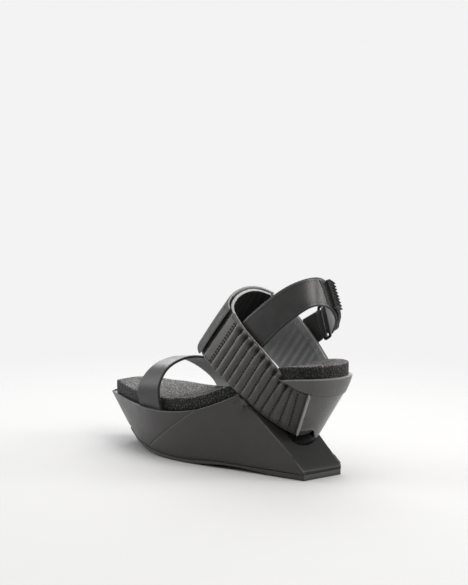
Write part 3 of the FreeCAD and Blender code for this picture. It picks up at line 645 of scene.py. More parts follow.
LOOK = {
    "wedge": leather("wedge_leather", 0.037, 0.06, 0.42, warm=0.08, grain=1700.0, depth=0.02, mottle=0.2),
    # painted shade: the slope's leather is a darker copy of the wedge leather, for the slope that faces up
    # and to the rear
    "slope": leather("slope_shaded_leather", 0.016, 0.06, 0.6, grain=1700.0, depth=0.03, gloss=0.15),
    "seat": leather("seat_leather", 0.09, 0.16, 0.5, depth=0.03, sheen=0.1),
    "heel": leather("heel_leather", 0.07, 0.14, 0.3, grain=900.0, depth=0.006, sheen=0.1, gloss=0.8),
    "heel_trim": leather("heel_trim_leather", 0.35, 0.45, 0.5, depth=0.03),
    # quilt leather: its dark tone 0.018 is painted shade in the stitched valleys and gathered pits
    "quilt": leather("quilt_leather", 0.056, 0.1, 0.5, warm=0.12, grain=1200.0, depth=0.06, sheen=0.2,
                     painted_valley_shade=0.018),
    "strap": leather("strap_leather", 0.034, 0.06, 0.34, grain=1400.0, depth=0.03),
    # painted light: the holder's leather is a paler copy of the strap leather, to lift the holder out of the
    # shade it sits in
    "holder": leather("holder_leather", 0.05, 0.09, 0.3, grain=1400.0, depth=0.03),
    "flap": leather("flap_leather", 0.022, 0.05, 0.5, grain=1400.0, depth=0.03, gloss=0.4),
    "toe": leather("toe_strap_leather", 0.02, 0.04, 0.42, grain=1700.0, depth=0.02, gloss=0.4),
    # footbed: 0.13 is the tone of the painted light on its upper face
    "footbed": pebbled("footbed_leather", 0.014, 0.13, 0.45, 400.0, 0.8, warm=0.09),
    "lining": suede("lining_suede", 0.3),
    # painted shade: a near-black copy of the lining suede for the instep panel's underside, which lies in
    # shade
    "shaded_lining": suede("instep_shaded_lining_suede", 0.012, sheen=0.0, gloss=0.1),
    # partly the lining's own pale grey, partly painted light: a paler copy of the lining suede for the toe
    # strap's inner face, which lies in shade
    "pale_lining": suede("strap_lining_suede", 0.55),
    "raw_edge": cut_edge("raw_edge", 0.34),
    "flap_edge": cut_edge("flap_edge", 0.2),
    "dark_edge": cut_edge("painted_edge", 0.01),
    "mid_edge": cut_edge("mid_edge", 0.05),
    "rubber": rubber("outsole_rubber", 0.028),
    "gloss": gloss("heel_gloss", 0.003),
    "thread": thread("thread", 0.004),
    "pale_thread": thread("pale_thread", 0.25),
    "loops": pile("loop_tape", 0.02, 1500.0),
    "hooks": pile("hook_tape", 0.03, 1100.0, 0.9),
    "grip": rubber("tab_grip_rubber", 0.05),
    "black_metal": metal("black_metal", 0.03, 0.3, 0.6),
    "steel": metal("steel", 0.5, 0.35),
    "board": fibre_board("fibre_board"),
}


# ---- sole unit ----------------------------------------------------------------------------------------
FLOOR_OUTER = [(0.0, 26.0), (30.0, 27.0), (60.0, 28.5), (95.0, 30.4), (126.0, 29.8), (152.0, 23.8),
               (180.0, 9.6), (206.0, -13.5)]
FLOOR_INNER = [(-7.4, -12.7), (30.0, -14.8), (60.0, -23.5), (95.0, -32.0), (126.0, -38.0),
               (160.0, -41.0), (188.0, -40.0), (205.0, -33.0)]
RIM_OUTER = [(0.5, 27.0), (30.0, 30.0), (57.5, 33.2), (95.0, 37.2), (126.0, 38.2), (150.0, 34.4),
             (180.0, 21.6), (235.9, -13.2)]
RIM_INNER = [(-7.4, -13.2), (30.0, -16.8), (60.0, -30.0), (95.0, -40.0), (126.0, -46.5),
             (160.0, -50.0), (200.0, -50.0), (233.2, -36.0)]
BED_OUTER = [(12.0, 29.4), (35.0, 29.2), (60.0, 30.2), (85.0, 32.3), (110.0, 33.6), (133.0, 32.6),
             (155.0, 27.0), (177.0, 18.0), (199.0, 7.0), (226.3, -9.5)]
BED_INNER = [(12.0, -29.4), (35.0, -28.0), (60.0, -27.8), (85.0, -31.5), (110.0, -37.5), (139.0, -42.8),
             (165.0, -45.6), (190.0, -46.8), (208.0, -45.0), (219.0, -40.5), (225.5, -32.0)]
RIM_LEVEL = 41.0
SEAT_RADIUS = 29.4
FOOT_TUCK = 0.9                     # how far the leather tucks in above the outsole
REAR_CORNER = 1.6                   # rounding of the heel plate's inner rear corner
REAR_FOOT_END = (-8.0, -9.1)        # inner end of the slanted rear edge's straight part
WEDGE_PEAK = (57.5, 34.0, 62.6)     # outer end of the wedge's highest edge
WEDGE_MIDDLE = (110.0, -4.0, 25.0)
TREAD_PITCH, TREAD_DEPTH = 6.4, 0.9
TREAD_SWAY, TREAD_ROW = 3.0, 9.0    # zigzag's swing, and the width of one swing
BED_THICK = 10.35
HEEL_SEAT_X = 12.0                  # centre of the round heel seat
OUTSOLE_TOP = 4.8
REAR_FACE_TOP = 7.4
SEAM_LOW, SEAM_HIGH = (168.0, 3.0), (92.0, 50.0)
bed_height = graph([(250.0, 41.0), (200.0, 41.0), (165.0, 41.0), (140.0, 41.2), (124.0, 42.2), (105.0, 45.2),
                    (90.5, 49.0), (76.0, 54.4), (61.5, 60.8), (45.0, 67.6), (30.0, 73.2), (15.0, 77.2),
                    (0.0, 78.7), (-30.0, 79.6)])
outsole_top = graph([(0.0, 4.8), (60.0, 4.8), (90.0, 4.8), (110.0, 3.4), (130.0, 3.0), (150.0, 3.8),
                     (175.0, 6.0), (198.0, 9.2), (230.0, 15.2), (240.0, 17.0)])
rocker = graph([(126.0, 0.0), (130.0, 0.0), (150.0, 0.8), (175.0, 3.0), (198.0, 6.2), (230.0, 12.2),
                (240.0, 14.0)])
arch = graph([(14.0, 0.0), (40.0, 1.4), (74.0, 3.0), (98.0, 1.2), (112.0, 0.0)])
seat_seam = graph([(22.0, 77.5), (15.0, 75.4), (8.0, 72.4), (0.0, 68.9), (-6.0, 66.9), (-14.0, 65.8),
                   (-30.0, 65.4)])


def outsole_bottom(x):
    x = np.asarray(x, float)
    return np.where(x > 130.0, rocker(x), np.where((x > 14.0) & (x < 112.0), np.maximum(arch(x), 0.0), 0.0))


def outline_at(low, high, x, z):
    """y of the flared outline at x, at a height."""
    low, high = np.asarray(low), np.asarray(high)
    x, z = np.atleast_1d(x), np.atleast_1d(z)
    found = np.zeros(len(x))
    for i, (px, pz) in enumerate(zip(x, z)):
        row = low + (high - low) * pz / RIM_LEVEL
        found[i] = cubic(row[:, 0], row[:, 1], np.clip([px], row[0, 0], row[-1, 0]))[0, 0]
    return found


def slope_plane():
    foot = np.array((RIM_OUTER[0][0], RIM_OUTER[0][1], REAR_FACE_TOP))
    inner = np.array((*REAR_FOOT_END, REAR_FACE_TOP))
    peak = np.array(WEDGE_PEAK)
    normal = np.cross(peak - foot, inner - foot)
    return foot, unit(normal if normal[2] > 0 else -normal)


SLOPE_FOOT, SLOPE_NORMAL = slope_plane()


def slope_height(x, y):
    return SLOPE_FOOT[2] - (SLOPE_NORMAL[0] * (x - SLOPE_FOOT[0]) + SLOPE_NORMAL[1] * (y - SLOPE_FOOT[1])) \
        / SLOPE_NORMAL[2]


def toe_end(z):
    return FLOOR_OUTER[-1][0] + (RIM_OUTER[-1][0] - FLOOR_OUTER[-1][0]) * z / RIM_LEVEL


def seam_x(z):
    return SEAM_LOW[0] + (SEAM_HIGH[0] - SEAM_LOW[0]) * (z - SEAM_LOW[1]) / (SEAM_HIGH[1] - SEAM_LOW[1])


def wall_point(share, level, side):
    """Points of a side wall: share is 0 at the rear, 1 at the seam and 2 at the toe; level is 0 to 1 up."""
    low, high = (FLOOR_OUTER, RIM_OUTER) if side > 0 else (FLOOR_INNER, RIM_INNER)
    rear = low[0][0]
    inner_toe = (FLOOR_INNER[-1][0] - FLOOR_OUTER[-1][0]) if side < 0 else 0.0
    z = OUTSOLE_TOP + (RIM_LEVEL - OUTSOLE_TOP) * level
    for _ in range(5):
        behind = rear + share * (seam_x(z) - rear)
        ahead = seam_x(z) + (share - 1) * (toe_end(z) + inner_toe - seam_x(z))
        x = np.where(share <= 1, behind, ahead)
        y = outline_at(low, high, x, z)
        bottom = outsole_top(x)
        top = np.minimum(bed_height(x), slope_height(x, y))
        z = bottom + level * np.maximum(top - bottom, 0.0)
    return np.stack([x, y, z], axis=-1)


def wall_grid(shares, side):
    """Rows up the wall from its tucked foot, its rounded top edge, and the ledge in under the footbed."""
    levels = np.concatenate([(0.0, 0.025), np.linspace(0.06, 0.9, 11), (0.955, 0.985)])
    rows = [wall_point(shares, np.full_like(shares, level), side) for level in levels]
    rows[0][:, 1] -= side * FOOT_TUCK
    rows[0][:, 2] += 0.1
    rows[1][:, 1] -= side * FOOT_TUCK * 0.12
    top = wall_point(shares, np.ones_like(shares), side)
    for inset, drop in ((0.0, 0.5), (0.22, 0.14), (0.6, 0.0), (3.0, 0.1), (8.0, 0.3)):
        x, y = top[:, 0], top[:, 1] - side * inset
        plane = slope_height(x, y)
        z = np.minimum(bed_height(x), plane) - drop - np.where(plane < bed_height(x), 0.25 * inset, 0.0)
        rows.append(np.column_stack([x, y, z]))
    return np.array(rows)


def toe_grid():
    """Blunt toe between the two walls' last columns."""
    outer = wall_grid(np.array((2.0,)), 1)[:, 0]
    inner = wall_grid(np.array((2.0,)), -1)[:, 0]
    shares = np.linspace(0, 1, 9)[None, :, None]
    return outer[:, None] * (1 - shares) + inner[:, None] * shares


def seam_dip(shares):
    """How deep the wall dives into its seam, by the distance from it."""
    return np.exp(-np.abs(shares - 1) * 110.0 / 0.9)


def panel(name, grid, dip):
    """Leather panel with its edge turned into the seam, backed by a second skin 1 mm inside."""
    normals = unit(np.cross(np.gradient(grid, axis=1), np.gradient(grid, axis=0)))
    outward = np.sign(np.mean(np.sum(normals * (grid - np.array(WEDGE_MIDDLE)), axis=-1)))
    normals = normals * outward
    front = grid - normals * 0.45 * dip[None, :, None]
    rim = np.abs(np.arange(grid.shape[0]) - (grid.shape[0] - 4))[:, None]
    wear_and_lit_top = np.clip(np.exp(-rim / 0.6) * 0.5 + 0.35 * dip[None, :], 0, 1)
    return thick_grid(name, front, front - normals * 1.0, [LOOK["wedge"]], wear_and_lit_top=wear_and_lit_top, sharp=40.0)


def wedge_pieces():
    rear_shares = np.concatenate([np.linspace(0, 0.9, 56), np.linspace(0.91, 0.99, 10), (0.995, 1.0)])
    front_shares = np.concatenate([(1.0, 1.005), np.linspace(1.01, 1.09, 8), np.linspace(1.12, 2.0, 40)])
    outer = panel("wedge_outer_leather", wall_grid(rear_shares, 1), seam_dip(rear_shares))
    inner = panel("wedge_inner_leather", wall_grid(rear_shares, -1), seam_dip(rear_shares))
    outer_front, inner_front = wall_grid(front_shares, 1), wall_grid(front_shares, -1)[:, ::-1]
    toe = toe_grid()[:, 1:-1]
    grid = np.concatenate([outer_front, toe, inner_front], axis=1)
    dip = np.concatenate([seam_dip(front_shares), np.zeros(toe.shape[1]), seam_dip(front_shares)[::-1]])
    front = panel("wedge_front_leather", grid, dip)
    for piece, nodes, slot in ((outer, ("wedge_outer_panel", "wedge_core"), "wedge_leather"),
                               (inner, ("wedge_inner_panel",), "wedge_leather"),
                               (front, ("wedge_front_panel",), "wedge_front_leather")):
        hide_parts(*nodes)


def rear_path():
    """Rear edge in plan from the outer corner round the inner corner."""
    outer = np.array(FLOOR_OUTER[0])
    corner = np.array(FLOOR_INNER[0])
    turn_end = corner + (-REAR_CORNER, REAR_CORNER)
    straight = outer + (turn_end - outer) * np.linspace(0, 1, 26)[:, None]
    centre = corner + (0.0, REAR_CORNER)
    turns = np.radians(np.linspace(180, 270, 9)[1:])
    arc = centre + REAR_CORNER * np.stack([np.cos(turns), np.sin(turns)], axis=1)
    return np.vstack([straight, arc])


def slope_piece():
    """Leather on the rear slope and over the low rear face."""
    rear = rear_path()
    across = chords(rear) / chords(rear)[-1]
    outer_x = np.linspace(0.0, 63.0, 44)
    inner_x = np.linspace(FLOOR_INNER[0][0], 58.0, 44)
    outer_y = outline_at(FLOOR_OUTER, RIM_OUTER, outer_x, np.clip(outer_x * 0.96 + 7, 0, 60)) - 0.3
    inner_y = outline_at(FLOOR_INNER, RIM_INNER, inner_x, np.clip(inner_x * 0.96 + 7, 0, 60)) + 0.3
    rows = []
    foot = OUTSOLE_TOP + 0.05
    brim = np.maximum(slope_height(rear[:, 0], rear[:, 1]), foot + 0.5)
    for share, inset in ((0.0, 0.0), (0.35, 0.0), (0.75, 0.0), (0.93, 0.12), (1.0, 0.45)):
        rows.append(np.column_stack([rear + (inset, 0.0), foot + (brim - foot) * share]))
    for k in range(1, 44):
        share = k / 43
        y = outer_y[k] + (inner_y[k] - outer_y[k]) * across
        x = rear[:, 0] * (1 - share) + (outer_x[-1] + (inner_x[-1] - outer_x[-1]) * across) * share
        x = x * (1 - (1 - share) ** 8) + (rear[:, 0] + 0.9) * (1 - share) ** 8
        pillow = 0.35 * np.clip(np.minimum(across, 1 - across) * 14, 0, 1)
        z = np.minimum(slope_height(x, y), bed_height(x) - 0.4) + pillow * min(share * 12, 1) - 0.15
        rows.append(np.column_stack([x, y, z]))
    grid = np.array(rows)
    edge = np.minimum(across, 1 - across)[None, :] * 40.0
    height = np.abs(np.arange(len(rows)) - 4)[:, None] * np.ones_like(edge)
    wear_and_lit_top = np.clip(np.exp(-edge / 0.8) * 0.6 + np.exp(-height / 1.0) * 0.8, 0, 1)
    # the slope takes the darker copy of the wedge leather, as painted shade
    piece = thick_grid("wedge_slope_leather", grid, grid - SLOPE_NORMAL * 0.9, [LOOK["slope"]], wear_and_lit_top=wear_and_lit_top,
                       sharp=45.0)
    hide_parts("wedge_slope_panel")


def sole_outline(z_of):
    """Closed plan outline of the hull at the height that z_of gives for each x."""
    outer_x = np.linspace(0.0, 1.0, 140)
    z_toe = z_of(np.array((215.0,)))[0]
    outer = np.column_stack([outer_x * toe_end(z_toe), outer_x * 0])
    outer[:, 1] = outline_at(FLOOR_OUTER, RIM_OUTER, outer[:, 0], z_of(outer[:, 0]))
    inner_x = FLOOR_INNER[0][0] + (toe_end(z_toe) - 1.0 - FLOOR_INNER[0][0]) * outer_x[::-1]
    inner = np.column_stack([inner_x, outline_at(FLOOR_INNER, RIM_INNER, inner_x, z_of(inner_x))])
    loop = np.vstack([outer, inner, rear_path()[::-1][1:]])
    return evenly(loop, 1.6, closed=True)


def nearest_on(spine, points):
    """Nearest point of a polyline to each point, in plan."""
    dense = evenly(spine, 0.5)
    gaps = np.linalg.norm(points[:, None, :2] - dense[None], axis=2)
    return dense[np.argmin(gaps, axis=1)]


def rings_inward(outline, spine, insets, shares):
    """Plan rings: first at fixed insets, then at shares of what is left to the spine."""
    target = nearest_on(spine, outline)
    reach = np.linalg.norm(target - outline, axis=1, keepdims=True)
    inward = (target - outline) / reach
    rings = [outline + inward * inset for inset in insets]
    last = rings[-1]
    rings += [last + (target - last) * share for share in shares]
    return rings


def outsole_piece():
    outline = sole_outline(lambda x: (outsole_bottom(x) + outsole_top(x)) / 2)
    spine = smooth_line([(9.0, 7.0), (60.0, 3.0), (110.0, -3.0), (160.0, -12.0), (203.0, -24.0)], 60)
    shares = np.linspace(0, 1, 26)[1:]
    plan = rings_inward(outline, spine, (7.0, 0.9, 0.1, 0.0, 0.0, 0.5, 1.6, 4.2), shares)
    lifts = [1.0, 1.0, 0.93, 0.5, 0.12, 0.0, 0.0, 0.0] + [0.0] * len(shares)
    rows = []
    for k, (ring, lift) in enumerate(zip(plan, lifts)):
        bottom, top = outsole_bottom(ring[:, 0]), outsole_top(ring[:, 0])
        z = bottom + (top - bottom) * lift
        if k > 6:
            zigzag = ring[:, 0] + TREAD_SWAY * np.abs((ring[:, 1] / TREAD_ROW) % 2 - 1)
            z = z + TREAD_DEPTH * np.clip(np.cos(zigzag * 2 * np.pi / TREAD_PITCH) * 3 - 1.2, 0, 1)
        rows.append(np.column_stack([ring, z]))
    grid = np.array(rows)
    faces = grid_faces(len(rows), len(outline), wrap_columns=True)
    edge = np.repeat(np.array([1.0 if k in (2, 5) else 0.0 for k in range(len(rows))])[:, None],
                     len(outline), axis=1)
    piece = add_piece("outsole_tread", grid.reshape(-1, 3), faces, [LOOK["rubber"]], wear_and_lit_top=edge.ravel() * 0.4,
                      sharp=40.0)
    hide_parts("outsole")


# ---- footbed ------------------------------------------------------------------------------------------
def bed_outline():
    turns = np.radians(np.linspace(-90, -270, 60))
    heel = np.column_stack([HEEL_SEAT_X + SEAT_RADIUS * np.cos(turns), SEAT_RADIUS * np.sin(turns)])
    outer = smooth_line(BED_OUTER, 160)
    inner = smooth_line(BED_INNER, 160)[::-1]
    loop = np.vstack([heel, outer[1:], inner[:-1]])
    return evenly(loop, 1.5, closed=True)


def footbed_piece():
    """Padded footbed: leather drawn over a soft layer, hollowed a little for heel and ball."""
    outline = bed_outline()
    spine = smooth_line([(12.0, 0.0), (60.0, 1.0), (110.0, -2.0), (160.0, -10.0), (212.0, -26.0)], 80)
    insets = (6.0, 0.8, 0.15, 0.0, 0.0, 0.0, 0.0, 0.0, 0.12, 0.42, 1.0, 2.4)
    lifts = (0.0, 0.0, 0.5, 1.6, 3.6, 5.6, 7.6, 8.9, 9.6, 10.05, 10.25, BED_THICK)
    shares = np.linspace(0, 1, 16)[1:]
    plan = rings_inward(outline, spine, insets, shares)
    heights = list(lifts) + [BED_THICK] * len(shares)
    stations = np.arange(-30.0, 251.0)
    steep = np.gradient(bed_height(stations))
    rows = []
    for k, (ring, lift) in enumerate(zip(plan, heights)):
        x, y = ring[:, 0], ring[:, 1]
        stretch = np.sqrt(1 + np.interp(x, stations, steep) ** 2)
        inner = max(0.0, (k - len(insets) + 1) / len(shares))
        hollow = 1.5 * np.exp(-((x - HEEL_SEAT_X) / 26) ** 2 - (y / 17) ** 2)
        hollow += 0.9 * np.exp(-((x - 150) / 30) ** 2 - ((y + 6) / 24) ** 2)
        ripple = 0.12 * np.sin(x / 5.3 + y / 7.1) * min(1.0, max(0.0, lift - 1.0) / 6)
        toe_rise = 0.12 * lift * np.clip((x - 195.0) / 25.0, 0.0, 1.0)
        z = bed_height(x) + (lift + ripple + toe_rise - hollow * min(1.0, inner * 2)) * stretch
        rows.append(np.column_stack([ring, z]))
    grid = np.array(rows)
    faces = grid_faces(len(rows), len(outline), wrap_columns=True)
    faces.append(tuple(range(len(outline))))
    # painted light: the rows of the upper face get the mask that paints the footbed's top paler
    lit_top = np.clip((np.arange(len(rows)) - 7) / 3.0, 0.0, 1.0)
    wear_and_lit_top = np.repeat(lit_top[:, None], len(outline), axis=1)
    piece = add_piece("footbed", grid.reshape(-1, 3), faces, [LOOK["footbed"]], wear_and_lit_top=wear_and_lit_top.ravel(), sharp=60.0)
    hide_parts("footbed_cover", "footbed_foam")


# ---- heel ---------------------------------------------------------------------------------------------
# rings of the heel block: z, x, y, radius
BLOCK_RINGS = [(8.0, 33.6, 1.5, 13.6), (16.0, 30.6, 1.5, 15.0), (24.0, 28.2, 1.8, 17.6),
               (29.0, 25.8, 1.0, 16.8), (36.0, 22.7, 0.0, 13.4), (50.0, 17.2, 0.0, 16.7),
               (66.0, 11.0, 0.0, 20.4), (76.0, 10.0, 0.0, 22.4)]
BLOCK_LEVELS, BLOCK_SIDES = 60, 72
CUP_LEVELS = (58.0, 66.0, 79.0, 90.0)
CUP_RADII = (23.4, 26.4, 32.4, 32.4)


def heel_radius(z):
    return 17.8 + (z - 31.0) * 8.0 / 35.0


def heel_x(z):
    return 24.6 - 0.391 * (z - 31.0)


def heel_block():
    """Lacquered block under the seat, waisted above its foot on the slope."""
    heights = np.linspace(BLOCK_RINGS[0][0], BLOCK_RINGS[-1][0], BLOCK_LEVELS)
    rows = cubic([r[0] for r in BLOCK_RINGS], [r[1:] for r in BLOCK_RINGS], heights)
    turns = np.linspace(0, 2 * np.pi, BLOCK_SIDES, endpoint=False)
    rings = []
    for z, (x, y, radius) in zip(heights, rows):
        ring = np.column_stack([x + radius * np.cos(turns), y + radius * np.sin(turns),
                                np.full(BLOCK_SIDES, z)])
        floor_z = slope_height(ring[:, 0], ring[:, 1])
        ring[:, 2] = np.minimum(np.maximum(ring[:, 2], floor_z), bed_height(ring[:, 0]) - 0.3)
        rings.append(ring)
    total = BLOCK_LEVELS * BLOCK_SIDES
    faces = grid_faces(BLOCK_LEVELS, BLOCK_SIDES, wrap_columns=True)
    faces += [tuple(range(BLOCK_SIDES))[::-1], tuple(range(total - BLOCK_SIDES, total))]
    piece = add_piece("heel_block", np.array(rings).reshape(-1, 3), faces, [LOOK["gloss"]], sharp=50.0)
    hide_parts("heel_core")


def cup_radius(z):
    return np.interp(z, CUP_LEVELS, CUP_RADII)


def cup_x(z):
    return np.interp(z, CUP_LEVELS, (heel_x(58.0), heel_x(66.0), HEEL_SEAT_X, HEEL_SEAT_X))


def heel_cup():
    """Leather shell under the heel seat, a lens in side view, with a rim a little proud of the footbed."""
    turns = np.radians(np.linspace(60, 300, 150))
    rows = []
    for level in np.concatenate([np.linspace(0, 0.92, 14), (0.97, 1.0)]):
        z = np.full_like(turns, 75.0)
        for _ in range(8):
            x = cup_x(z) + cup_radius(z) * np.cos(turns)
            low = seat_seam(x)
            z = low + level * np.maximum(bed_height(x) - low, 0.02)
        bulge = 0.5 * math.sin(math.pi * level)
        radius = cup_radius(z) + bulge
        rows.append(np.column_stack([cup_x(z) + radius * np.cos(turns), radius * np.sin(turns), z]))
    top = rows[-1]
    for inset, rise in ((0.25, 0.22), (0.8, 0.3), (4.0, 0.05)):
        inward = np.column_stack([-np.cos(turns), -np.sin(turns), 0 * turns])
        rows.append(top + inward * inset + np.array((0.0, 0.0, rise)))
    grid = np.array(rows)
    inward = np.column_stack([-np.cos(turns), -np.sin(turns), 0.3 + 0 * turns])
    near = np.abs(np.arange(len(rows)) - 15)[:, None] + 0 * turns[None, :]
    foot = np.arange(len(rows))[:, None] + 0 * turns[None, :]
    wear_and_lit_top = np.exp(-near / 0.8) * 0.8 + np.exp(-foot / 0.7) * 0.5
    piece = thick_grid("heel_cup_leather", grid, grid + inward[None] * 1.0, [LOOK["seat"], LOOK["mid_edge"]],
                       wear_and_lit_top=np.clip(wear_and_lit_top, 0, 1))
    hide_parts("heel_cup")


def lean_x(z):
    return np.interp(z, (20.0, 66.5, 80.0), (19.6, -3.2, -9.6))


hem_height = graph([(-20.0, 38.0), (-14.0, 37.6), (-9.0, 34.0), (-5.0, 29.6), (-1.5, 28.6), (2.0, 31.4),
                    (6.0, 35.8), (12.0, 36.6), (20.0, 37.2)])


def heel_cover():
    """Smooth rear leather wrapped round the heel from band to band, with a scalloped hem."""
    rows = []
    shares = np.linspace(-1, 1, 90)
    for level in np.linspace(0, 1, 34):
        z = np.full_like(shares, 50.0)
        for _ in range(8):
            radius = heel_radius(z) - 0.1
            reach = np.arccos(np.clip((lean_x(z) - heel_x(z)) / radius, -1, 1))
            turn = math.pi + shares * (math.pi - reach)
            x = heel_x(z) + radius * np.cos(turn)
            y = radius * np.sin(turn) * -1
            low = hem_height(y)
            z = low + level * (seat_seam(x) - 0.15 - low)
        rows.append(np.column_stack([x, y, z]))
    grid = np.array(rows)
    centre = np.column_stack([heel_x(grid[..., 2]).ravel(), np.zeros(grid.size // 3),
                              grid[..., 2].ravel()]).reshape(grid.shape)
    outward = unit(grid - centre)
    hem = np.arange(34)[:, None] * 1.1 + 0 * shares[None, :]
    wear_and_lit_top = np.clip(np.exp(-hem / 0.8) + np.exp(-(1 - np.abs(shares))[None, :] * 30 / 1.0) * 0.3, 0, 1)
    piece = thick_grid("heel_cover_leather", grid, grid - outward * 1.3,
                       [LOOK["heel"], LOOK["mid_edge"], LOOK["dark_edge"]], wear_and_lit_top=wear_and_lit_top)
    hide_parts("heel_cover")
    # painted shadow: a dark tube along the seam, where the cup's proud lower edge casts its shadow
    seam = np.column_stack([x, y, seat_seam(x) - 0.1])
    line = tube("heel_seam_shadow_line", seam + outward[-1] * 0.1, 0.42, [LOOK["dark_edge"]], sides=8)
    for side, name in ((1, "outer"), (-1, "inner")):
        edge_strip(side, name)


def edge_strip(side, name):
    """Folded strip that finishes the cover's front edge, and in front of it a dark tube that paints the shade
    in the groove.
    """
    z = np.linspace(32.5, 67.2, 30)
    reach = heel_radius(z) + 0.75
    ends = np.clip(np.minimum(np.arange(30), np.arange(30)[::-1]) / 2.0 + 0.45, 0, 1)
    # the second roll is painted shade: a dark tube where the groove in front of the strip lies in shade
    rolls = (("heel_edge_strip_", 0.7, 1.65, "heel_trim"), ("heel_edge_groove_shade_", 2.5, 0.75, "dark_edge"))
    for title, ahead, radius, look in rolls:
        x = lean_x(z) + ahead
        y = side * np.sqrt(np.maximum(reach ** 2 - (x - heel_x(z)) ** 2, 1.0))
        piece = tube(title + name, np.column_stack([x, y, z]), radius, [LOOK[look]], flat=0.5,
                     aim=(0.25, side * 0.97, 0.1), pinch=ends)
        if look == "heel_trim":
            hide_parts("heel_edge_strips")


# ---- straps -------------------------------------------------------------------------------------------
BAND_TILT = math.radians(36.0)
BAND_HALF = 2.0


def hoop(rows):
    """Two edge lines from rows of (s, y upper, w upper, y lower, w lower) in the hoop's tilted plane."""
    c, n = math.cos(BAND_TILT), math.sin(BAND_TILT)

    def point(s, y, w):
        return (s * c - w * n, y, s * n + w * c)

    upper = [point(s, yu, wu) for s, yu, wu, yl, wl in rows]
    lower = [point(s, yl, wl) for s, yu, wu, yl, wl in rows]
    return upper, lower


def heel_wrap(turn_deg, w, side):
    turn = math.radians(turn_deg)
    z = 50.0
    for _ in range(12):
        radius = heel_radius(z) - 1.4 - BAND_HALF
        x = heel_x(z) - radius * math.cos(turn)
        z = (w + x * math.sin(BAND_TILT)) / math.cos(BAND_TILT)
    return (x, side * radius * math.sin(turn), z)


OUTER_ROWS = [(57.0, 26.8, 53.0, 24.5, 14.8), (70.0, 30.4, 56.4, 29.5, 16.0), (88.0, 32.6, 59.6, 33.4, 17.4),
              (105.0, 32.6, 60.8, 34.6, 16.8), (121.0, 30.2, 62.0, 33.6, 16.9),
              (127.0, 28.4, 62.5, 32.6, 17.1)]
INNER_ROWS = [(57.0, -26.8, 60.8, -24.5, 15.5), (74.0, -31.4, 62.5, -30.4, 18.4),
              (93.0, -34.4, 65.1, -33.6, 21.5), (112.0, -33.8, 68.0, -34.4, 22.2),
              (126.0, -29.8, 70.0, -31.0, 22.5), (134.2, -24.8, 70.5, -26.0, 23.0)]
INSTEP_ROWS = [(127.0, 28.4, 62.5, 32.6, 17.1), (133.6, 25.2, 63.6, 29.8, 17.4),
               (139.2, 18.5, 66.5, 22.8, 19.0), (142.6, 7.5, 69.5, 10.5, 21.0),
               (143.2, -4.5, 71.0, -3.6, 22.5), (140.6, -15.5, 71.0, -16.0, 23.0),
               (135.8, -23.4, 70.5, -24.6, 23.0)]
FLAP_ROWS = [(133.4, -25.4, 71.2, -26.8, 22.8), (140.0, -16.6, 71.8, -17.2, 22.6),
             (143.2, -4.5, 71.2, -3.6, 21.8), (142.6, 7.5, 69.6, 10.5, 20.4), (139.2, 18.5, 66.6, 22.8, 18.6),
             (134.8, 24.2, 64.2, 28.6, 17.2), (131.0, 26.6, 63.6, 30.9, 16.9)]
TOE_FRONT = [(168.0, 22.9, 38.6), (168.6, 23.8, 42.0), (169.6, 25.4, 52.0), (167.8, 24.4, 59.8),
             (165.4, 21.0, 66.6), (162.4, 15.4, 72.6), (158.9, 7.4, 77.0), (156.4, -1.0, 78.8),
             (156.0, -12.0, 78.2), (154.6, -22.0, 75.0), (151.0, -32.0, 69.0), (146.6, -39.5, 62.0),
             (142.0, -43.2, 55.0), (139.5, -44.2, 48.0), (138.5, -44.2, 38.6)]
TOE_REAR = [(136.0, 33.8, 38.6), (137.2, 34.2, 42.0), (138.4, 35.4, 52.0), (138.9, 35.0, 60.0),
            (138.9, 31.7, 67.0), (138.0, 25.8, 74.0), (136.3, 15.4, 79.3), (133.8, 3.0, 81.8),
            (130.5, -9.0, 81.2), (127.0, -20.0, 78.2), (123.5, -30.0, 72.2), (120.0, -37.0, 65.0),
            (117.5, -40.2, 57.0), (116.5, -41.2, 48.0), (116.0, -41.2, 38.6)]
ANKLE_UPPER = [(63.0, 27.0, 114.4), (58.2, 27.3, 118.6), (41.0, 25.6, 133.1), (28.8, 21.0, 143.2),
               (17.4, 15.0, 150.7), (10.0, 8.6, 154.0), (6.0, 1.5, 154.6), (5.0, -6.5, 152.3),
               (7.6, -16.0, 146.5), (14.8, -26.0, 139.0), (21.5, -33.0, 133.0)]
ANKLE_LOWER = [(43.4, 28.4, 96.4), (38.8, 28.3, 100.6), (20.6, 26.4, 118.0), (8.4, 22.6, 128.0),
               (0.6, 16.6, 133.8), (-2.6, 9.6, 134.6), (-4.0, 1.0, 132.6), (-3.6, -7.5, 127.6),
               (-0.4, -16.0, 120.6), (7.8, -26.0, 113.0), (14.8, -33.0, 107.8)]
RING_REAR = np.array([(25.6, -36.6, 130.2), (18.4, -36.6, 105.0)])
RING_FRONT = np.array([(31.4, -38.0, 126.6), (24.2, -38.0, 101.4)])
HOLDER_BASE = np.array([(47.0, -39.4, 116.2), (40.0, -39.2, 91.8)])
ROLL_PITCH = 7.1
ROLLS = 80                          # random swells drawn for a band, more than it has rolls
COVER_LAP = 26.0                    # length of each quilted band that lies under the heel's rear leather
FLAT_STRIP = 9.0                    # plain stitched strip at the front end of each quilted band
HOOK_LOW, FLAP_LOW, FLAP_HIGH = 1.5, 2.4, 4.2       # heights of the flap's layers above the hoop
TAB_OUT = 3.9                       # the closure tab stands this far out from the strap's middle
TAB_LAST_SHARE = 0.35               # how much of its last stretch the tab keeps


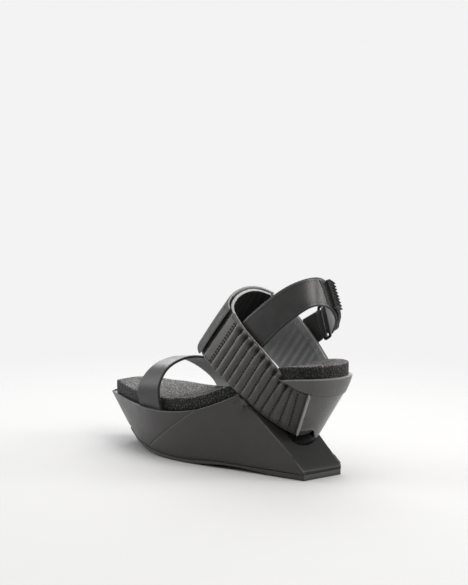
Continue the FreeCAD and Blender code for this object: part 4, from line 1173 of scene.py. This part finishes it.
def band_edges(rows, tops, side):
    """Upper and lower edge of a band: its wrap round the heel, then its stretch in the hoop's plane."""
    turns = (2, 25, 50, 75)
    up, low = hoop(rows)
    return ([heel_wrap(a, w, side) for a, w in zip(turns, tops)] + up,
            [heel_wrap(a, w, side) for a, w in zip(turns, (25.0, 21.5, 17.5, 15.5))] + low)


def band_strips():
    """The two quilted bands, each from the rear of the heel to the instep, outward side out."""
    up, low = band_edges(OUTER_ROWS, (57.5, 57.5, 56.5, 54.5), 1)
    outer = Strip(up[::-1], low[::-1])
    inner = Strip(*band_edges(INNER_ROWS, (57.5, 57.5, 58.0, 59.5), -1))
    return outer, inner


def roll_shape(s, start, direction):
    """Each point's roll number and its share of that roll's full height."""
    along = (s - start) * direction
    index = np.floor(along / ROLL_PITCH)
    t = along / ROLL_PITCH - index
    shape = np.clip(1 - np.abs(2 * t - 1) ** 2.4, 0, 1)
    return along, np.clip(index, 0, ROLLS - 1).astype(int), shape


def roll_lift(start, direction, seed, pits, covered):
    """Raised rolls between the rows of stitching, flat near the edges and under the heel's rear leather."""
    swell = np.random.default_rng(seed).uniform(-1.0, 1.0, ROLLS)

    def lift(s, v, width):
        along, k, shape = roll_shape(s, start, direction)
        near = np.clip(np.minimum(v, width - v) / 4.5, 0, 1)
        height = (1.75 + 0.25 * swell[k]) * shape * near ** 0.6
        wrinkle = 0.2 * np.sin(v / 1.9 + swell[k] * 9) * shape * near
        lifted = np.where(along > 0, height + wrinkle, 0.35 * near)
        for at, deep in pits:
            reach = ((s - at) / 2.3) ** 2 + ((width - v - 3.4) / 2.4) ** 2
            lifted = lifted - deep * np.exp(-reach)
            lifted = lifted + 1.3 * np.exp(-((s - at - 3.4 * direction) / 2.0) ** 2
                                           - ((width - v - 4.0) / 3.4) ** 2)
        return lifted * np.clip((covered - along) / 4.0, 0.0, 1.0)

    return lift


def roll_shade(start, direction, pits):
    """How deep in a stitched valley or a gathered pit a point lies, from 0 to 1: the mask of the shade
    painted there.
    """
    def shade(s, v, width):
        along, _, shape = roll_shape(s, start, direction)
        near = np.clip(np.minimum(v, width - v) / 3.0, 0, 1)
        deep = np.where(along > -1.0, np.clip(1 - shape / 0.4, 0, 1) * near * 0.2, 0.0)
        for at, strength in pits:
            reach = ((s - at) / 2.2) ** 2 + ((width - v - 3.4) / 2.4) ** 2
            deep = np.maximum(deep, min(strength / 1.6, 1.0) * np.exp(-reach))
        return deep

    return shade


def ridge_lift(start, direction, depth):
    """Soft waves of the quilting seen on the lining."""
    def lift(s, v, width):
        near = np.clip(np.minimum(v, width - v) / 6.0, 0, 1)
        wave = 0.5 - 0.5 * np.cos((s - start) * direction * 2 * np.pi / ROLL_PITCH)
        return depth * wave * near

    return lift


def lining_edge(name, line):
    """Pale raw edge of a lining."""
    pale = tube(name, line, 0.55, [LOOK["raw_edge"]], sides=8)


def painted_edges(prefix, strip, inset, height, radius, names, body):
    """Dark painted edges along a strip's upper and lower side."""
    edges = []
    for name, upper in zip(names, (True, False)):
        line = strip.row(inset, height, from_upper=upper)[0]
        edge = tube(prefix + name, line, radius, [LOOK["dark_edge"]], body, sides=8)
        edges.append(edge)
    return edges


def quilted_band(prefix, strip, start, direction, seed, pits):
    """One quilted band: its rolled outside, its lining, its bound edges and its stitching."""
    covered = (strip.length - COVER_LAP - start) if direction > 0 else (start - COVER_LAP)
    lift = roll_lift(start, direction, seed, pits, covered)
    quilt = strip_piece(prefix + "_quilt_leather", strip, -0.8, 0.75, [LOOK["quilt"], LOOK["dark_edge"]],
                        "shoe", step=0.5, inner=36, rounding=1.1, bluntness=0.35, front_lift=lift,
                        shade=roll_shade(start, direction, pits))
    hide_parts(prefix + "_quilt", prefix + "_padding")
    lining = strip_piece(prefix + "_lining_suede", strip, -BAND_HALF, -0.9,
                         [LOOK["lining"], LOOK["raw_edge"]], "shoe", step=1.1, inner=18, rounding=0.7,
                         bluntness=0.75, back_lift=ridge_lift(start, direction, 0.7))
    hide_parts(prefix + "_lining")
    rows = []
    for k in range(1, int(strip.length / ROLL_PITCH)):
        at = start + direction * k * ROLL_PITCH
        if 3.0 < at < strip.length - 3.0:
            rows.append(strip.cross_row(at, 0.80, 0.09, 0.93))
    for offset in (0.0, -2.2):
        rows.append(strip.cross_row(start + direction * offset, 1.0, 0.04, 0.95))
    threads = sew(prefix + "_channel_stitches", rows, 2.9, 1.9, 0.62, LOOK["thread"], lift=0.42)
    edges = [strip.row(2.0, 0.92), strip.row(2.0, 0.92, from_upper=False)]
    hems = sew(prefix + "_edge_stitches", edges, 2.4, 1.6, 0.36, LOOK["thread"], lift=0.2)
    binding = strip.row(0.15, -0.15)[0]
    bound = tube(prefix + "_binding", binding, 0.95, [LOOK["quilt"]], flat=0.75, sides=10)
    lining_edge(prefix + "_lining_edge", strip.row(0.3, -1.5)[0])


def quilted_bands():
    outer, inner = band_strips()
    pits = [(FLAT_STRIP + ROLL_PITCH * k, 2.8 - 0.1 * k) for k in range(1, 10)]
    quilted_band("outer_band", outer, FLAT_STRIP, 1, 3, pits)
    quilted_band("inner_band", inner, inner.length - FLAT_STRIP, -1, 8, ())
    first, last = inner.length * 0.42, inner.length * 0.9
    line, normals = inner.row(5.0, -BAND_HALF - 0.55, first, last)
    width_way = unit(inner.pick(inner.upper, np.linspace(first, last, len(line))) - line)
    sway = 1.1 * (2 * np.abs((chords(line) / 2.8) % 1 - 0.5) - 0.5)
    zigzag = [(line + width_way * sway[:, None], -normals)]
    piece = sew("inner_band_zigzag", zigzag, 1.4, 1.3, 0.3, LOOK["pale_thread"], lift=0.1)


def instep():
    """Panel that carries the quilted band over the instep, its loop tape, and the flap that folds over it."""
    up, low = hoop(INSTEP_ROWS)
    panel_strip = Strip(up[::-1], low[::-1])
    # the panel's back takes the near-black lining suede as painted shade
    end_panel = strip_piece("instep_panel_suede", panel_strip, -BAND_HALF, 0.7,
                            [LOOK["strap"], LOOK["raw_edge"], LOOK["shaded_lining"]], "shoe", rounding=0.8,
                            step=1.1, back_lift=ridge_lift(0.0, 1, 0.6))
    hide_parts("outer_band_end_panel")
    loops = strip_piece("instep_loop_tape", Strip(up[1:6][::-1], low[1:6][::-1], 4.0), 0.7, 1.4,
                        [LOOK["loops"]], "shoe", rounding=0.5)
    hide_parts("instep_loop_patch")
    lining_edge("instep_panel_edge", panel_strip.row(0.3, -1.4)[0])
    up, low = hoop(FLAP_ROWS)
    flap_strip = Strip(up, low)
    flap = strip_piece("instep_flap_leather", flap_strip, FLAP_LOW, FLAP_HIGH,
                       [LOOK["flap"], LOOK["flap_edge"], LOOK["lining"]], None, step=1.2, rounding=0.8,
                       bluntness=0.5, crown=0.5)
    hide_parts("instep_flap")
    rows = [flap_strip.row(2.6, FLAP_HIGH), flap_strip.row(2.6, FLAP_HIGH, from_upper=False)]
    rows += [flap_strip.cross_row(flap_strip.length - d, FLAP_HIGH, 0.06, 0.94) for d in (2.6, 4.6)]
    stitches = sew("instep_flap_stitches", rows, 2.4, 1.7, 0.3, LOOK["thread"], None, 0.1)
    hooks = strip_piece("instep_hook_tape", Strip(up[1:6], low[1:6], 4.5), HOOK_LOW, FLAP_LOW,
                        [LOOK["hooks"]], "instep_flap", rounding=0.4)
    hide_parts("instep_hook_patch")
    for piece in (flap, stitches):
        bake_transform(piece)


def toe_strap():
    strip = Strip(TOE_FRONT, TOE_REAR)
    leather_part = strip_piece("toe_strap_leather", strip, -0.4, 1.2, [LOOK["toe"], LOOK["dark_edge"]],
                               "shoe", rounding=0.7, bluntness=0.55, inner=16, step=1.6)
    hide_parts("toe_strap")
    lining = strip_piece("toe_strap_suede", strip, -1.2, -0.45, [LOOK["pale_lining"], LOOK["dark_edge"]],
                         "shoe", rounding=0.5, step=1.6)
    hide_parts("toe_strap_lining")
    painted_edges("toe_strap_painted_edge_", strip, 0.25, 0.2, 0.95, ("front", "rear"), "shoe")


def hinge_blend(piece):
    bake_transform(piece)


def ankle_strap():
    strip = Strip(ANKLE_UPPER, ANKLE_LOWER)
    strap = strip_piece("ankle_strap_leather", strip, -0.4, 1.2, [LOOK["strap"], LOOK["dark_edge"]], None,
                        rounding=0.8, bluntness=0.5, inner=18, step=1.5, crown=0.35)
    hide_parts("ankle_strap")
    lining = strip_piece("ankle_strap_suede", strip, -1.2, -0.42, [LOOK["lining"], LOOK["raw_edge"]], None,
                         rounding=0.5, step=1.5, inner=14, crown=0.35)
    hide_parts("ankle_strap_lining")
    edges = painted_edges("ankle_strap_painted_edge_", strip, 0.2, 0.3, 0.85, ("upper", "lower"), None)
    rows = [strip.row(2.4, 1.25), strip.row(2.4, 1.25, from_upper=False)]
    stitches = sew("ankle_strap_stitches", rows, 2.5, 1.7, 0.26, LOOK["thread"], None, 0.08)
    for piece in (strap, lining, stitches, *edges):
        hinge_blend(piece)
    loops = strip_piece("ankle_loop_tape", Strip(ANKLE_UPPER[6:10], ANKLE_LOWER[6:10], 2.4), 1.2, 1.9,
                        [LOOK["loops"]], "ankle_strap", rounding=0.4)
    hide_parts("ankle_loop_patch")


def ring():
    """Black rectangular ring with rounded corners."""
    corners = [RING_REAR[0], RING_FRONT[0], RING_FRONT[1], RING_REAR[1]]
    path = []
    for k in range(4):
        here, after, before = corners[k], corners[(k + 1) % 4], corners[k - 1]
        a = here + unit(before - here) * 1.3
        b = here + unit(after - here) * 1.3
        for t in np.linspace(0, 1, 6):
            path.append((1 - t) ** 2 * a + 2 * t * (1 - t) * here + t * t * b)
    path = evenly(path, 0.8, closed=True)
    normal = np.cross(corners[1] - corners[0], corners[3] - corners[0])
    piece = tube("strap_ring_metal", path, 1.2, [LOOK["black_metal"]], "ankle_strap", closed=True, aim=normal)
    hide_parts("strap_ring")


def sleeve(name, ends, radius, thick, material, body, trim):
    """Leather folded round one bar of the ring."""
    run = unit(ends[1] - ends[0])
    first, last = ends[0] + run * trim, ends[1] - run * trim
    side = unit(np.cross(run, (0.0, 1.0, 0.0)))
    other = np.cross(run, side)
    turns = np.linspace(0, 2 * np.pi, 24, endpoint=False)
    around = np.cos(turns)[:, None] * side + np.sin(turns)[:, None] * other
    rows = []
    stations = [(0.0, -0.35), (0.03, 0.0), (0.97, 0.0), (1.0, -0.35)]
    for share, grow in stations:
        rows.append(first + (last - first) * share + around * (radius + thick + grow))
    for share in (1.0, 0.0):
        rows.append(first + (last - first) * share + around * radius)
    grid = np.array(rows)
    faces = grid_faces(len(rows), len(turns), wrap_rows=True, wrap_columns=True)
    piece = add_piece(name, grid.reshape(-1, 3), faces, [material], body=body)
    return piece


def holder():
    """Gathered connector between the inner band and the ring: three soft rolls that narrow at the ring."""
    near = RING_FRONT + (HOLDER_BASE - RING_FRONT) * 0.10
    run = unit(near[1] - near[0]) * 1.6
    near = np.array([near[0] + run, near[1] - run])
    middle = (near + HOLDER_BASE) / 2
    strip = Strip([near[0], middle[0], HOLDER_BASE[0]], [near[1], middle[1], HOLDER_BASE[1]])

    def rolls(s, v, width):
        phase = s / strip.length * 3
        shape = np.abs(np.sin(math.pi * phase)) ** 0.7
        near_edge = np.clip(np.minimum(v, width - v) / 2.5, 0, 1)
        return (2.6 * shape - 0.3) * near_edge ** 0.5 + 0.2 * np.sin(v / 1.7 + phase * 4) * near_edge

    piece = strip_piece("ring_holder_leather", strip, -1.1, 0.6, [LOOK["holder"], LOOK["dark_edge"]], None,
                        step=0.45, inner=20, rounding=1.0, front_lift=rolls, bluntness=0.3)
    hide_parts("ring_holder")
    rows = [strip.cross_row(strip.length * k / 3, 0.55, 0.1, 0.9) for k in (1, 2)]
    stitches = sew("ring_holder_stitches", rows, 2.2, 1.5, 0.28, LOOK["thread"], None, 0.1)
    for part in (piece, stitches):
        hinge_blend(part)
    sleeve("ring_holder_fold", RING_FRONT, 1.2, 1.3, LOOK["holder"], "ankle_strap", 2.0)


def closure_tab():
    """End of the ankle strap, folded back round the ring, with hook tape on its inner face."""
    upper = np.array(ANKLE_UPPER[::-1][:5])
    lower = np.array(ANKLE_LOWER[::-1][:5])
    run = np.gradient(upper + lower, axis=0)
    normals = unit(np.cross(run, upper - lower))
    for rail in (upper, lower):
        rail[-1] = rail[-2] + (rail[-1] - rail[-2]) * TAB_LAST_SHARE
    lead_up = RING_REAR[0] + (upper[0] - RING_REAR[0]) * 0.30
    lead_low = RING_REAR[1] + (lower[0] - RING_REAR[1]) * 0.30
    up = np.vstack([lead_up, upper - normals * TAB_OUT])
    low = np.vstack([lead_low, lower - normals * TAB_OUT])
    strip = Strip(up, low, 1.8)
    tab = strip_piece("closure_tab_leather", strip, -0.9, 0.9,
                      [LOOK["lining"], LOOK["dark_edge"], LOOK["strap"]], "closure_tab", rounding=0.7,
                      bluntness=0.5, step=1.2, begin=0.6)
    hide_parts("closure_tab")
    hooks = strip_piece("closure_hook_tape", Strip(up[2:], low[2:], 2.8), 0.9, 1.6, [LOOK["hooks"]],
                        "closure_tab", rounding=0.4)
    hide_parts("closure_hook_patch")
    rows = [strip.row(2.2, -0.9), strip.row(2.2, -0.9, from_upper=False),
            strip.cross_row(strip.length - 2.4, -0.9)]
    rows = [(line, -outward) for line, outward in rows]
    stitches = sew("closure_tab_stitches", rows, 2.4, 1.7, 0.28, LOOK["thread"], "closure_tab", 0.1)
    grip = strip_piece("closure_tab_grip", strip, -1.9, -0.85, [LOOK["grip"]], "closure_tab", step=0.8,
                       inner=70, rounding=0.8, begin=strip.length - 6.5,
                       back_lift=lambda s, v, width: 2.0 * (1 - (v / 2.6) % 1))
    sleeve("closure_tab_fold", RING_REAR, 1.6, 1.2, LOOK["strap"], "closure_tab", 2.4)


def carried_nodes():
    """Materials for the CAD solids that stay."""
    looks = {"insole_board": "board", "shank": "steel", "shank_rivets": "steel",
             "heel_screw": "steel", "heel_nails": "steel", "heel_base_screws": "steel"}
    for node, look in looks.items():
        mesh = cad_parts[node].data
        mesh.materials.clear()
        mesh.materials.append(LOOK[look])


make_camera()
make_studio()
wedge_pieces()
slope_piece()
outsole_piece()
footbed_piece()
heel_block()
heel_cup()
heel_cover()
quilted_bands()
instep()
toe_strap()
ankle_strap()
ring()
holder()
closure_tab()
carried_nodes()
